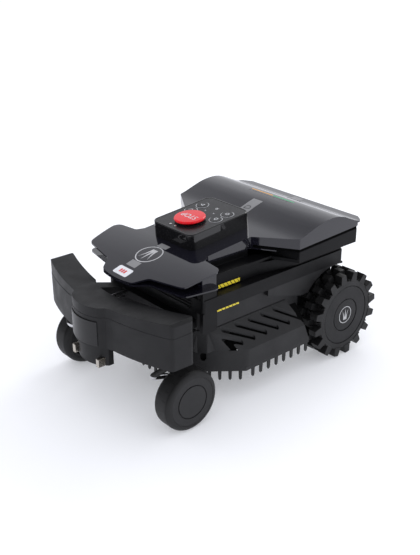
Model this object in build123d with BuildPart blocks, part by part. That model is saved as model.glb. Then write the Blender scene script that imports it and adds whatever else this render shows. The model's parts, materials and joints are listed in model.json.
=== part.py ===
from build123d import *
import os
from math import cos, radians, sin, tan

# Robotic lawn mower with a lift-off power unit. Millimetres, +Z up, the floor at z = 0, the front
# towards -Y and the mower's left side towards +X. The origin is on the floor at the middle.

os.makedirs("parts", exist_ok=True)

SIDES = (("left", 1), ("right", -1))

# ---------------------------------------------------------------- driving dimensions
wall = 3.0                  # thickness of every moulded wall
running_fit = 0.05          # radial clearance of a shaft in its bore
free_gap = 0.4              # air between faces of bodies that move past each other

wheel_radius = 90.0         # drive wheel, over the lugs
wheel_axle_y = 210.0
tyre_outer_x = 176.0
tyre_width = 57.0
rim_radius = 61.6
lug_height = 17.0
lugs_per_row = 16
lug_phase = 8.8             # angle of the first outer lug, from +Y towards +Z
drive_shaft_radius = 6.0
hub_cap_radius = 33.0

caster_radius = 57.0
caster_x = 158.9
caster_axle_y = -193.4
caster_width = 40.0
caster_rim_radius = 46.0
caster_cap_radius = 30.4
stem_radius = 5.5
pivot_y = -224.0            # the swivel axis stands ahead of the wheel's axle

deck_half = 167.5           # cutting deck, outside of the skirt
deck_rear_y = 113.0
deck_nose_y = -168.0
deck_nose_half = 77.0
deck_corner_y = -55.0       # where each front corner starts to be cut off
skirt_low_z = 67.0
skirt_high_z = 103.0
tub_half = 131.5            # upright wall of the tub, inside the sloped panels
tub_corner_y = -118.0
tub_nose_half = 118.0
tub_front_y = -132.0
slope_top_z = 151.0
tub_floor_z = 108.0
body_low_z = 190.0          # lower edge of the band
body_high_z = 216.0         # upper edge of the band
body_half = 140.0
body_front_y = -136.0
body_rear_y = 232.0
rear_box_half = 110.0
rear_box_low_z = 52.0

finger_pitch = 20.4
finger_width = 6.5
finger_low_z = 41.0
finger_thickness = 3.2

recess_half = 121.0         # casing between the band and the cover
casing_high_z = 247.0
neck_half = 93.0
lobe_half = 171.0           # rear lobes of the cover
lobe_front_y = 70.0
lobe_low_z = 240.0
groove_front_z = 262.0
groove_rise = 7.0
groove_height = 5.5
groove_depth = 3.0

plate_nose_y = -221.0       # gloss cover, in side view
plate_nose_z = 242.2
deck_fold_y = -111.0         # a point on the line of the flat middle
deck_fold_z = 270.2
plate_bend_y = -140.0         # where nose slope and flat middle would meet
plate_bend_radius = 455.0
pack_angle = 5.37           # slope of the cover under the power unit
crest_y = 157.0
crest_z = 308.0
tail_front_y = 236.0
tail_front_z = 283.5
tail_y = 260.0
tail_z = 281.5

pack_half = 58.5            # power unit
pack_front_y = -92.0
pack_rear_y = 56.0
pack_height = 30.3
pack_corner = 16.0
pack_draft = 1.5
bay_half = 51.0
bay_front_y = -80.0
bay_rear_y = 46.0
bay_clearance = 1.5
base_depth = 38.0
stop_radius = 30.0
stop_stem_radius = 12.6
stop_y = -44.0
stop_travel = 4.0
key_radius = 11.5
key_stem_radius = 4.6
key_half_spread = 35.5
key_rows_y = (-12.0, 17.0)
key_travel = 0.9

bumper_low_z = 138.0
bumper_seam_z = 198.0
bumper_mid_z = 216.0
bumper_end_z = 224.0
bumper_end_x = 187.0
bumper_travel = 7.0
bumper_guide_x = 72.0
bumper_guide_z = 164.0
bumper_guide_end_y = -256.0
sleeve_rear_y = -238.0
buffer_radius = 8.0
buffer_front_y = sleeve_rear_y + bumper_travel + 0.4
buffer_rear_y = -205.0
guide_radius = 5.0
jaw_half = 45.0
jaw_low_z = 101.0
contact_width = 8.0
contact_height = 17.0

blade_radius = 115.0
blade_y = -10.0
blade_z = 48.0
blade_thickness = 2.0
cut_travel = 18.0           # cutting height, up and down from the middle setting
motor_radius = 34.0
motor_height = 52.0
gearmotor_radius = 18.0
gearmotor_nose_radius = 13.0


def deck_height(y):
    """Height of the cover's flat middle, where the power unit sits."""
    return deck_fold_z + (y - deck_fold_y) * tan(radians(pack_angle))


def deck_plane(y, lift=0.0):
    """Plane parallel to the cover's flat middle, at y and lifted along its normal."""
    normal = Vector(0, -sin(radians(pack_angle)), cos(radians(pack_angle)))
    point = Vector(0, y, deck_height(y)) + normal * lift
    return Plane(origin=point, x_dir=(1, 0, 0), z_dir=normal)


def cut_corner_plan(half, corner_y, nose_half, nose_y, rear_y, inset, corner):
    """Plan with two cut-off front corners, drawn in by an inset all round but at the rear."""
    with BuildSketch() as plan:
        with BuildLine():
            Polyline(
                (half, rear_y + inset),
                (half, corner_y),
                (nose_half, nose_y),
                (-nose_half, nose_y),
                (-half, corner_y),
                (-half, rear_y + inset),
                close=True,
            )
        make_face()
        offset(amount=-inset, kind=Kind.INTERSECTION)
        fillet(plan.vertices().sort_by(Axis.Y)[:4], radius=corner)
    return plan.sketch


def deck_plan(inset):
    """Plan of the cutting deck at its skirt."""
    return cut_corner_plan(
        deck_half, deck_corner_y, deck_nose_half, deck_nose_y, deck_rear_y, inset, skirt_corner)


def tub_plan(inset):
    """Plan of the tub's upright wall."""
    return cut_corner_plan(
        tub_half, tub_corner_y, tub_nose_half, tub_front_y, deck_rear_y, inset, tub_corner)


# ---------------------------------------------------------------- lower shell
# The cutting deck and the tub are one moulding: a skirt with cut-off front corners, a sloped
# and slotted panel up to the tub's wall, a narrow box between the drive wheels, and the arches.
skirt_corner = 24.0
tub_corner = 7.0
slot_width = 7.0
slot_count = 6
slot_outer_x = 157.0
slot_inner_x = 137.0
slot_front_y = (-59.0, -120.0)      # outer and inner end of the first slot
slot_rear_y = (93.0, 42.0)          # outer and inner end of the last slot
arch_clearance = 8.0
arch_front_y = 23.0
arch_front_z = 178.0
arch_low_y = 69.0
arch_low_z = 164.0
skirt_end_lean = 36.0
carriage_radius = motor_radius + 5.0
carriage_gap = 2.0
arch_band = body_half - rear_box_half
hole_x = 118.0
hole_y = deck_corner_y - (deck_half - hole_x) * (deck_corner_y - deck_nose_y) / (deck_half - deck_nose_half)
hole_z = 92.0
hole_width = 11.0
hole_height = 17.0
corner_out = Vector(deck_corner_y - deck_nose_y, deck_nose_half - deck_half).normalized()

with BuildPart() as lower_shell:
    with BuildSketch(Plane.XY.offset(skirt_low_z)):
        add(deck_plan(0))
    extrude(amount=skirt_high_z - skirt_low_z)
    with BuildSketch(Plane.XY.offset(skirt_high_z)):
        add(deck_plan(0))
    with BuildSketch(Plane.XY.offset(slope_top_z)):
        add(tub_plan(-wall / 2))
    loft(ruled=True)
    # Hollow under the skirt and the slope.
    with BuildSketch(Plane.XY.offset(skirt_low_z)):
        add(deck_plan(wall))
    extrude(amount=skirt_high_z - wall - skirt_low_z, mode=Mode.SUBTRACT)
    with BuildSketch(Plane.XY.offset(skirt_high_z - wall)):
        add(deck_plan(wall))
    with BuildSketch(Plane.XY.offset(slope_top_z - wall)):
        add(tub_plan(wall / 2))
    loft(ruled=True, mode=Mode.SUBTRACT)
    # Slots through the sloped panels.
    with BuildSketch(Plane.XY.offset(skirt_high_z)):
        for slot in range(slot_count):
            share = slot / (slot_count - 1)
            outer_y = slot_front_y[0] + share * (slot_rear_y[0] - slot_front_y[0])
            inner_y = slot_front_y[1] + share * (slot_rear_y[1] - slot_front_y[1])
            run = Vector(slot_outer_x - slot_inner_x, outer_y - inner_y)
            turn = run.get_angle(Vector(1, 0, 0))
            for side, sign in SIDES:
                with Locations((sign * (slot_outer_x + slot_inner_x) / 2, (outer_y + inner_y) / 2)):
                    SlotCenterToCenter(run.length, slot_width, rotation=sign * turn)
    extrude(amount=slope_top_z, mode=Mode.SUBTRACT)
    # Tie-down hole in each cut corner of the skirt.
    for side, sign in SIDES:
        face = Plane(origin=(sign * hole_x, hole_y, hole_z), x_dir=(0, 0, 1), z_dir=(sign * corner_out.X, corner_out.Y, 0))
        with BuildSketch(face):
            SlotCenterToCenter(hole_height - hole_width, hole_width)
        extrude(amount=2 * wall, both=True, mode=Mode.SUBTRACT)
    # Tub with its floor and the bore for the cutting unit.
    with BuildSketch(Plane.XY.offset(tub_floor_z - wall)):
        add(tub_plan(0))
    extrude(amount=body_low_z - tub_floor_z + wall)
    # The rear edges of skirt and slope lean forwards, clear of the tyres.
    for side, sign in SIDES:
        with BuildSketch(Plane.YZ.offset(sign * tub_half)):
            with BuildLine():
                Polyline(
                    (deck_rear_y, skirt_low_z - 1),
                    (deck_rear_y - skirt_end_lean, slope_top_z + 1),
                    (deck_rear_y + 1, slope_top_z + 1),
                    (deck_rear_y + 1, skirt_low_z - 1),
                    close=True,
                )
            make_face()
        extrude(amount=sign * deck_half, mode=Mode.SUBTRACT)
    # Arches over the drive wheels, and the box between the wheels.
    for side, sign in SIDES:
        with BuildSketch(Plane.YZ.offset(sign * rear_box_half)):
            with BuildLine():
                Polyline(
                    (arch_front_y, body_low_z),
                    (arch_front_y, arch_front_z),
                    (arch_low_y, arch_low_z),
                    (deck_rear_y, slope_top_z),
                    (body_rear_y, slope_top_z),
                    (body_rear_y, body_low_z),
                    close=True,
                )
            make_face()
        extrude(amount=sign * arch_band)
        with BuildSketch(Plane.YZ.offset(sign * rear_box_half)):
            with Locations(((deck_rear_y + body_rear_y) / 2, (slope_top_z + body_low_z) / 2 - wall)):
                Rectangle(body_rear_y - deck_rear_y - 2 * wall, body_low_z - slope_top_z)
        extrude(amount=sign * (arch_band - wall), mode=Mode.SUBTRACT)
        with BuildSketch(Plane.YZ.offset(sign * rear_box_half)):
            with Locations((wheel_axle_y, wheel_radius)):
                Circle(wheel_radius + arch_clearance)
        extrude(amount=sign * body_half, mode=Mode.SUBTRACT)
    with BuildSketch(Plane.XY.offset(rear_box_low_z)):
        with Locations((0, (deck_rear_y + body_rear_y) / 2)):
            Rectangle(2 * rear_box_half, body_rear_y - deck_rear_y)
    extrude(amount=body_low_z - rear_box_low_z)
    with BuildSketch(Plane.XY.offset(rear_box_low_z + wall)):
        with Locations((0, (deck_rear_y + body_rear_y) / 2)):
            Rectangle(2 * (rear_box_half - wall), body_rear_y - deck_rear_y - 2 * wall)
    extrude(amount=body_low_z, mode=Mode.SUBTRACT)
    with BuildSketch(Plane.YZ.offset(-rear_box_half - 1)):
        with Locations((wheel_axle_y, wheel_radius)):
            Circle(gearmotor_nose_radius)
    extrude(amount=2 * rear_box_half + 2, mode=Mode.SUBTRACT)
    # Inside of the tub.
    with BuildSketch(Plane.XY.offset(tub_floor_z)):
        add(tub_plan(wall))
        with Locations((0, deck_rear_y)):
            Rectangle(2 * deck_half, 2 * wall, mode=Mode.SUBTRACT)
    extrude(amount=body_low_z, mode=Mode.SUBTRACT)
    with Locations((0, blade_y, tub_floor_z)):
        Hole(carriage_radius + carriage_gap, depth=2 * wall)
lower_shell.part.label = "lower_shell"
export_step(lower_shell.part, "parts/lower_shell.step")

# ---------------------------------------------------------------- finger combs
# Flexible strips with hanging fingers under the skirt: one round each side and corner, and one
# across the front.
comb_strip_z = 60.0
comb_inset = 0.8
side_finger_count = 8
corner_finger_count = 7
front_finger_count = 7
finger_draft = 1.2
front_comb_half = deck_nose_half - 4.0
corner_pitch = 19.0
corner_finger_start = 10.0
front_strip_margin = 9.6
comb_lean = Vector(deck_half - deck_nose_half, deck_corner_y - deck_nose_y)
comb_turn = comb_lean.get_angle(Vector(1, 0, 0))
finger_line = comb_inset + finger_thickness / 2
corner_start = Vector(deck_half, deck_corner_y) - comb_lean.normalized() * corner_finger_start
corner_inset = Vector(-comb_lean.Y, comb_lean.X).normalized() * finger_line

for side, sign in SIDES:
    with BuildPart() as comb:
        with BuildSketch(Plane.XY.offset(comb_strip_z)):
            add(deck_plan(comb_inset))
            add(deck_plan(comb_inset + finger_thickness), mode=Mode.SUBTRACT)
            with Locations((sign * (front_comb_half + free_gap + deck_half), 0)):
                Rectangle(2 * deck_half, 4 * deck_half, mode=Mode.INTERSECT)
            with Locations((0, 2 * deck_rear_y)):
                Rectangle(3 * deck_half, 2 * deck_rear_y, mode=Mode.SUBTRACT)
        extrude(amount=skirt_low_z - comb_strip_z)
        with BuildSketch(Plane.XY.offset(comb_strip_z)):
            for finger in range(side_finger_count):
                with Locations((sign * (deck_half - finger_line),
                                deck_rear_y - finger_width - finger * finger_pitch)):
                    Rectangle(finger_thickness, finger_width)
            for finger in range(corner_finger_count):
                spot = corner_start - comb_lean.normalized() * (finger * corner_pitch) + corner_inset
                with Locations((sign * spot.X, spot.Y)):
                    Rectangle(finger_width, finger_thickness, rotation=sign * comb_turn)
        extrude(amount=finger_low_z - comb_strip_z, taper=finger_draft)
    comb.part.label = f"comb_{side}"
    export_step(comb.part, f"parts/comb_{side}.step")

with BuildPart() as comb_front:
    with BuildSketch(Plane.XY.offset(comb_strip_z)):
        with Locations((0, deck_nose_y + finger_line)):
            Rectangle(2 * (front_comb_half - front_strip_margin), finger_thickness)
    extrude(amount=skirt_low_z - comb_strip_z)
    with BuildSketch(Plane.XY.offset(comb_strip_z)):
        with Locations((0, deck_nose_y + finger_line)):
            with GridLocations(corner_pitch, 1, front_finger_count, 1):
                Rectangle(finger_width, finger_thickness)
    extrude(amount=finger_low_z - comb_strip_z, taper=finger_draft)
comb_front.part.label = "comb_front"
export_step(comb_front.part, "parts/comb_front.step")

# ---------------------------------------------------------------- body frame
# The band round the middle of the machine, open below like a channel, with a post at each
# front corner that reaches down to the deck and a block above it that carries the cover.
frame_corner = 7.0
post_rear_y = -103.0
block_high_z = 232.0
block_inner_x = 124.0
block_inset = 1.5
frame_lip = 5.0

with BuildPart() as body_frame:
    frame_middle_y = (body_front_y + body_rear_y) / 2
    frame_length = body_rear_y - body_front_y
    with BuildSketch(Plane.XY.offset(body_low_z)):
        with Locations((0, frame_middle_y)):
            RectangleRounded(2 * body_half, frame_length, frame_corner)
    extrude(amount=body_high_z - body_low_z)
    with BuildSketch(Plane.XY.offset(body_low_z)):
        with Locations((0, frame_middle_y)):
            RectangleRounded(2 * (body_half - wall), frame_length - 2 * wall, frame_corner - wall)
        with Locations((0, (tub_front_y + body_rear_y) / 2)):
            Rectangle(2 * tub_half, body_rear_y - tub_front_y - 2 * wall, mode=Mode.SUBTRACT)
    extrude(amount=body_high_z - wall - body_low_z, mode=Mode.SUBTRACT)
    with BuildSketch(Plane.XY.offset(body_low_z)):
        with Locations((0, (tub_front_y + body_rear_y) / 2)):
            Rectangle(2 * (tub_half - wall), body_rear_y - tub_front_y - 4 * wall)
    extrude(amount=body_high_z - wall - body_low_z, mode=Mode.SUBTRACT)
    with BuildSketch(Plane.XY.offset(body_low_z)):
        with Locations((0, (tub_front_y + body_rear_y) / 2)):
            Rectangle(2 * (recess_half - frame_lip), body_rear_y - tub_front_y - 8 * wall)
    extrude(amount=body_high_z, mode=Mode.SUBTRACT)
    # Front posts, beside the tub's wall.
    for side, sign in SIDES:
        with BuildSketch(Plane.XY.offset(slope_top_z + 1)):
            with Locations((sign * (tub_half + body_half) / 2, (body_front_y + post_rear_y) / 2)):
                Rectangle(body_half - tub_half, post_rear_y - body_front_y)
        extrude(amount=body_low_z - slope_top_z)
        with BuildSketch(Plane.XY.offset(body_high_z - wall)):
            with Locations((sign * (block_inner_x + body_half - block_inset) / 2,
                            (body_front_y + 1 + post_rear_y) / 2)):
                Rectangle(body_half - block_inset - block_inner_x, post_rear_y - body_front_y - 1)
        extrude(amount=block_high_z - body_high_z + wall)
body_frame.part.label = "body_frame"
export_step(body_frame.part, "parts/body_frame.step")

# ---------------------------------------------------------------- upper casing
# The matte moulding between the band and the gloss cover: upright walls behind the recess, a
# ledge, a narrower wall up to the cover's neck, and the lower half of the rear lobes.
casing_front_y = -104.0
neck_front_y = -90.0
casing_neck_rear_y = 47.0
neck_low_z = 259.0
neck_step = 2.0


def casing_plan(waist, lobe, front_y, rear_y):
    """Plan of the casing: a straight waist that flares to the rear lobes."""
    with BuildSketch() as plan:
        with BuildLine():
            Polyline(
                (waist, front_y),
                (waist, casing_neck_rear_y - lobe_half + lobe),
                (lobe, lobe_front_y + lobe_half - lobe),
                (lobe, rear_y),
                (-lobe, rear_y),
                (-lobe, lobe_front_y + lobe_half - lobe),
                (-waist, casing_neck_rear_y - lobe_half + lobe),
                (-waist, front_y),
                close=True,
            )
        make_face()
    return plan.sketch


inner_neck = neck_half - neck_step - wall
inner_neck_front_y = neck_front_y + wall

with BuildPart() as upper_casing:
    with BuildSketch(Plane.XY.offset(body_high_z)):
        add(casing_plan(recess_half, body_half - wall, casing_front_y, body_rear_y - wall))
    extrude(amount=lobe_low_z - body_high_z)
    with BuildSketch(Plane.XY.offset(lobe_low_z)):
        add(casing_plan(recess_half, lobe_half - 1, casing_front_y, body_rear_y))
    extrude(amount=casing_high_z - lobe_low_z)
    with BuildSketch(Plane.XY.offset(casing_high_z)):
        add(casing_plan(neck_half - neck_step, lobe_half - 1, neck_front_y, body_rear_y))
    extrude(amount=groove_front_z + groove_rise - casing_high_z)
    # The top follows the cover's lower edge.
    with BuildSketch(Plane.YZ.offset(-lobe_half - 1)):
        with BuildLine():
            Polyline(
                (casing_front_y - 1, neck_low_z),
                (casing_neck_rear_y, neck_low_z),
                (casing_neck_rear_y, groove_front_z),
                (lobe_front_y, groove_front_z),
                (body_rear_y + 1, groove_front_z + groove_rise),
                (body_rear_y + 1, crest_z),
                (casing_front_y - 1, crest_z),
                close=True,
            )
        make_face()
    extrude(amount=2 * lobe_half + 2, mode=Mode.SUBTRACT)
    # Hollow inside.
    with BuildSketch(Plane.XY.offset(body_high_z)):
        add(casing_plan(recess_half - wall, body_half - 2 * wall, casing_front_y + wall,
                        body_rear_y - 2 * wall))
    extrude(amount=lobe_low_z - body_high_z, mode=Mode.SUBTRACT)
    with BuildSketch(Plane.XY.offset(lobe_low_z - 1)):
        add(casing_plan(inner_neck, body_half - 2 * wall, inner_neck_front_y, body_rear_y - 2 * wall))
    extrude(amount=crest_z - lobe_low_z, mode=Mode.SUBTRACT)
    with BuildSketch(Plane.XY.offset(lobe_low_z + wall)):
        add(casing_plan(inner_neck, lobe_half - 1 - wall, inner_neck_front_y, body_rear_y - wall))
    extrude(amount=crest_z - lobe_low_z, mode=Mode.SUBTRACT)
upper_casing.part.label = "upper_casing"
export_step(upper_casing.part, "parts/upper_casing.step")

# ---------------------------------------------------------------- gloss cover
# One gloss moulding: a thin front plate, a narrow neck under the power unit, and the rear lobes
# that rise to a crest and fall to the tail. It is a skin with walls, open below.
plate_side_y = -104.0
skin_corner = 14.0
wing_corner = 15.0
waist_corner = 7.0
leg_inset = 2.5


def cover_plan(inset):
    """Plan of the whole cover."""
    with BuildSketch() as plan:
        with BuildLine() as outline:
            nose = ThreePointArc((-44, -216), (0, plate_nose_y), (44, -216))
            Polyline(
                nose @ 1,
                (62, -192),
                (141, -178),
                (154, plate_side_y),
                (neck_half + 8, -98),
                (neck_half, -84),
                (neck_half, 21),
                (lobe_half, lobe_front_y),
                (lobe_half, body_rear_y + 8),
                (150, tail_y - 2),
                (-150, tail_y - 2),
                (-lobe_half, body_rear_y + 8),
                (-lobe_half, lobe_front_y),
                (-neck_half, 21),
                (-neck_half, -84),
                (-neck_half - 8, -98),
                (-154, plate_side_y),
                (-141, -178),
                (-62, -192),
                nose @ 0,
            )
        make_face()
        fillet(plan.vertices().filter_by(lambda v: abs(v.Y) > 150 and abs(v.X) < 135), radius=skin_corner)
        fillet(plan.vertices().filter_by(lambda v: abs(v.Y) > 150 and abs(v.X) > 135), radius=skin_corner)
        fillet(plan.vertices().filter_by(lambda v: v.Y < -90 and abs(v.X) > 150), radius=wing_corner)
        fillet(plan.vertices().filter_by(lambda v: -100 < v.Y < 0), radius=waist_corner)
        if inset:
            offset(amount=-inset, kind=Kind.INTERSECTION)
    return plan.sketch


def cover_side(drop, low_points):
    """Side view under the cover's upper line, lowered by a drop, closed by points below."""
    with BuildSketch() as side:
        with BuildLine():
            bend = (plate_bend_y, deck_height(plate_bend_y) - drop)
            flat_end = (pack_rear_y, deck_height(pack_rear_y) - drop)
            rise = Spline(flat_end, (crest_y, crest_z - drop),
                          tangents=((1, tan(radians(pack_angle))), (1, 0)))
            fall = Spline(rise @ 1, (tail_front_y, tail_front_z - drop),
                          tangents=((1, 0), (1, -0.25)))
            FilletPolyline((plate_nose_y, plate_nose_z - drop), bend, flat_end, radius=plate_bend_radius)
            Polyline(fall @ 1, (tail_y, tail_z - drop), *low_points, (plate_nose_y, plate_nose_z - drop))
        make_face()
    return side.sketch


plate_drop = (
    (tail_y, tail_z - wall),
    (body_rear_y, tail_front_z - wall),
    (body_rear_y, groove_front_z + groove_rise),
    (lobe_front_y, groove_front_z),
    (casing_neck_rear_y, groove_front_z),
    (casing_neck_rear_y, neck_low_z),
    (plate_side_y, neck_low_z),
    (plate_side_y, plate_nose_z - 2 * wall),
    (plate_nose_y, plate_nose_z - 2 * wall),
)
core_drop = (
    (tail_y, neck_low_z - 20),
    (plate_nose_y, neck_low_z - 20),
)

with BuildPart() as cover_core:
    with BuildSketch(Plane.YZ.offset(-lobe_half - 1)):
        add(cover_side(wall, core_drop))
    extrude(amount=2 * lobe_half + 2)
    with BuildSketch(Plane.XY):
        add(cover_plan(wall))
        with Locations((0, (plate_side_y + wall + body_rear_y - wall) / 2)):
            Rectangle(3 * lobe_half, body_rear_y - plate_side_y - 2 * wall, mode=Mode.INTERSECT)
    extrude(amount=2 * crest_z, mode=Mode.INTERSECT)

with BuildPart() as plate_core:
    with BuildSketch(Plane.YZ.offset(-lobe_half - 1)):
        add(cover_side(wall, core_drop))
        with Locations(((plate_nose_y + plate_side_y) / 2 - lobe_half, deck_fold_z)):
            Rectangle(plate_side_y - plate_nose_y + 2 * lobe_half, crest_z, mode=Mode.INTERSECT)
    extrude(amount=2 * lobe_half + 2)

with BuildPart() as groove_core:
    with BuildSketch(Plane.YZ.offset(-lobe_half - 1)):
        with BuildLine():
            Polyline(
                (casing_neck_rear_y - 40, groove_front_z - 1),
                (lobe_front_y, groove_front_z - 1),
                (body_rear_y + 1, groove_front_z + groove_rise - 1),
                (body_rear_y + 1, groove_front_z + groove_rise + groove_height),
                (lobe_front_y, groove_front_z + groove_height),
                (casing_neck_rear_y - 40, groove_front_z + groove_height),
                close=True,
            )
        make_face()
    extrude(amount=2 * lobe_half + 2)
    with BuildSketch(Plane.XY):
        Rectangle(3 * lobe_half, 3 * lobe_half)
        add(cover_plan(groove_depth - 0.6), mode=Mode.SUBTRACT)
    extrude(amount=2 * crest_z, mode=Mode.INTERSECT)

with BuildPart() as top_cover:
    with BuildSketch(Plane.YZ.offset(-lobe_half - 1)):
        add(cover_side(0, plate_drop))
    extrude(amount=2 * lobe_half + 2)
    with BuildSketch(Plane.XY):
        add(cover_plan(0))
    extrude(amount=2 * crest_z, mode=Mode.INTERSECT)
    add(cover_core.part, mode=Mode.SUBTRACT)
    add(plate_core.part, mode=Mode.SUBTRACT)
    add(groove_core.part, mode=Mode.SUBTRACT)
    # Opening for the power unit's base.
    with BuildSketch(Plane.XY):
        with Locations((0, (bay_front_y + bay_rear_y) / 2)):
            Rectangle(2 * bay_half, bay_rear_y - bay_front_y)
    extrude(amount=2 * crest_z, mode=Mode.SUBTRACT)
    # Legs under the plate's rear corners, standing on the frame's blocks.
    for side, sign in SIDES:
        with BuildSketch(Plane.XY.offset(block_high_z)):
            with Locations((sign * (block_inner_x + body_half - leg_inset) / 2,
                            (body_front_y + 1 + post_rear_y) / 2)):
                Rectangle(body_half - leg_inset - block_inner_x, post_rear_y - body_front_y - 1)
        extrude(amount=deck_height(body_front_y) - wall - block_high_z)
top_cover.part.label = "top_cover"
export_step(top_cover.part, "parts/top_cover.step")

# ---------------------------------------------------------------- power unit
# The lift-off box: case and panel above the cover, a base in the bay with battery and board.
panel_gap = 0.4
panel_margin = 3.5
panel_thickness = 2.0
case_floor = 3.0
base_wall = 2.5
battery_size = (78.0, 84.0, 24.0)
board_size = (84.0, 100.0, 1.6)
plug_size = (26.0, 9.0, 5.0)
socket_wall = 4.0
socket_gap = 1.0
bay_middle_y = (bay_front_y + bay_rear_y) / 2
pack_middle_y = (pack_front_y + pack_rear_y) / 2
seat_plane = deck_plane(pack_middle_y)
top_plane = deck_plane(pack_middle_y, pack_height)
pack_length = (pack_rear_y - pack_front_y) / cos(radians(pack_angle))
base_half = bay_half - bay_clearance
base_length = bay_rear_y - bay_front_y - 2 * bay_clearance - 1


def panel_spot(x, y, lift=0.0):
    """Plane on top of the power unit at a place in plan."""
    plane = deck_plane(y, pack_height + lift)
    plane.origin = plane.origin + Vector(x, 0, 0)
    return plane


with BuildPart() as power_case:
    with BuildSketch(seat_plane):
        RectangleRounded(2 * pack_half, pack_length, pack_corner)
    extrude(amount=pack_height, taper=pack_draft)
    fillet(power_case.faces().sort_by(Axis.Z)[-1].edges(), radius=1.6)
    with BuildSketch(seat_plane):
        RectangleRounded(2 * (pack_half - wall), pack_length - 2 * wall, pack_corner - wall)
    extrude(amount=pack_height - 2 * panel_thickness, taper=pack_draft, mode=Mode.SUBTRACT)
    with BuildSketch(top_plane.offset(-panel_thickness)):
        RectangleRounded(2 * (pack_half - panel_margin), pack_length - 2 * panel_margin,
                         pack_corner - panel_margin)
    extrude(amount=2 * panel_thickness, mode=Mode.SUBTRACT)
    with BuildSketch(panel_spot(0, stop_y, -2 * panel_thickness - 1)):
        Circle(stop_stem_radius)
    extrude(amount=panel_thickness + 2, mode=Mode.SUBTRACT)
    for key_y in key_rows_y:
        for side, sign in SIDES:
            with BuildSketch(panel_spot(sign * key_half_spread, key_y, -2 * panel_thickness - 1)):
                Circle(key_stem_radius)
            extrude(amount=panel_thickness + 2, mode=Mode.SUBTRACT)
    # Inner collar that the base plugs into.
    with BuildSketch(seat_plane):
        RectangleRounded(2 * (pack_half - 1), pack_length - 2, pack_corner - 1)
        Rectangle(2 * base_half, base_length, mode=Mode.SUBTRACT)
    extrude(amount=case_floor)
power_case.part.label = "power_case"
export_step(power_case.part, "parts/power_case.step")

with BuildPart() as power_base:
    with BuildSketch(seat_plane.offset(-base_depth)):
        Rectangle(2 * base_half, base_length)
    extrude(amount=base_depth + case_floor)
    with BuildSketch(seat_plane.offset(base_wall - base_depth)):
        Rectangle(2 * (base_half - base_wall), base_length - 2 * base_wall)
    extrude(amount=base_depth + 2 * case_floor, mode=Mode.SUBTRACT)
power_base.part.label = "power_base"
export_step(power_base.part, "parts/power_base.step")

with BuildPart() as battery_pack:
    with BuildSketch(seat_plane.offset(base_wall - base_depth)):
        RectangleRounded(battery_size[0], battery_size[1], 6)
    extrude(amount=battery_size[2])
battery_pack.part.label = "battery_pack"
export_step(battery_pack.part, "parts/battery_pack.step")

with BuildPart() as control_board:
    with BuildSketch(seat_plane.offset(base_wall - base_depth + battery_size[2])):
        Rectangle(board_size[0], board_size[1])
    extrude(amount=board_size[2])
control_board.part.label = "control_board"
export_step(control_board.part, "parts/control_board.step")

with BuildPart() as dock_plug:
    with BuildSketch(seat_plane.offset(-base_depth)):
        Rectangle(plug_size[0], plug_size[1])
    extrude(amount=-plug_size[2])
dock_plug.part.label = "dock_plug"
export_step(dock_plug.part, "parts/dock_plug.step")

with BuildPart() as control_panel:
    with BuildSketch(top_plane.offset(-panel_thickness)):
        RectangleRounded(2 * (pack_half - panel_margin - panel_gap / 2),
                         pack_length - 2 * panel_margin - panel_gap,
                         pack_corner - panel_margin)
    extrude(amount=panel_thickness - 0.4)
    with BuildSketch(panel_spot(0, stop_y, -2 * panel_thickness)):
        Circle(stop_stem_radius)
    extrude(amount=3 * panel_thickness, mode=Mode.SUBTRACT)
    for key_y in key_rows_y:
        for side, sign in SIDES:
            with BuildSketch(panel_spot(sign * key_half_spread, key_y, -2 * panel_thickness)):
                Circle(key_radius + free_gap)
            extrude(amount=3 * panel_thickness, mode=Mode.SUBTRACT)
control_panel.part.label = "control_panel"
export_step(control_panel.part, "parts/control_panel.step")

rain_contact_x = (-14.0, 0.0)
rain_contact_y = -79.0
with BuildPart() as rain_contacts:
    for contact_x in rain_contact_x:
        with BuildSketch(panel_spot(contact_x, rain_contact_y, -0.4)):
            Circle(2.6)
        extrude(amount=1.0)
rain_contacts.part.label = "rain_contacts"
export_step(rain_contacts.part, "parts/rain_contacts.step")

# Stop button: a mushroom head over the panel and a stem through it.
stop_head = 8.0
stop_lift = 0.2
with BuildPart() as stop_button:
    with BuildSketch(panel_spot(0, stop_y, stop_travel + stop_lift - 0.4)):
        Circle(stop_radius)
    extrude(amount=stop_head - stop_travel)
    fillet(stop_button.faces().sort_by(Axis.Z)[-1].edges(), radius=2.6)
    with BuildSketch(panel_spot(0, stop_y, -2 * panel_thickness - 1)):
        Circle(stop_stem_radius - running_fit)
    extrude(amount=2 * panel_thickness + 1 + stop_travel + stop_lift)
stop_button.part.label = "stop_button"
export_step(stop_button.part, "parts/stop_button.step")

# Keys: round caps in the panel, each on a stem through the case.
KEY_ROWS = ("front", "rear")
for row, key_y in zip(KEY_ROWS, key_rows_y):
    for side, sign in SIDES:
        with BuildPart() as key:
            with BuildSketch(panel_spot(sign * key_half_spread, key_y, key_travel - panel_thickness + 0.1)):
                Circle(key_radius)
            extrude(amount=panel_thickness - 0.4)
            with BuildSketch(panel_spot(sign * key_half_spread, key_y, -2 * panel_thickness - 1)):
                Circle(key_stem_radius - running_fit)
            extrude(amount=panel_thickness + 2.1 + key_travel - 0.5)
        key.part.label = f"key_{row}_{side}"
        export_step(key.part, f"parts/key_{row}_{side}.step")

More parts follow.
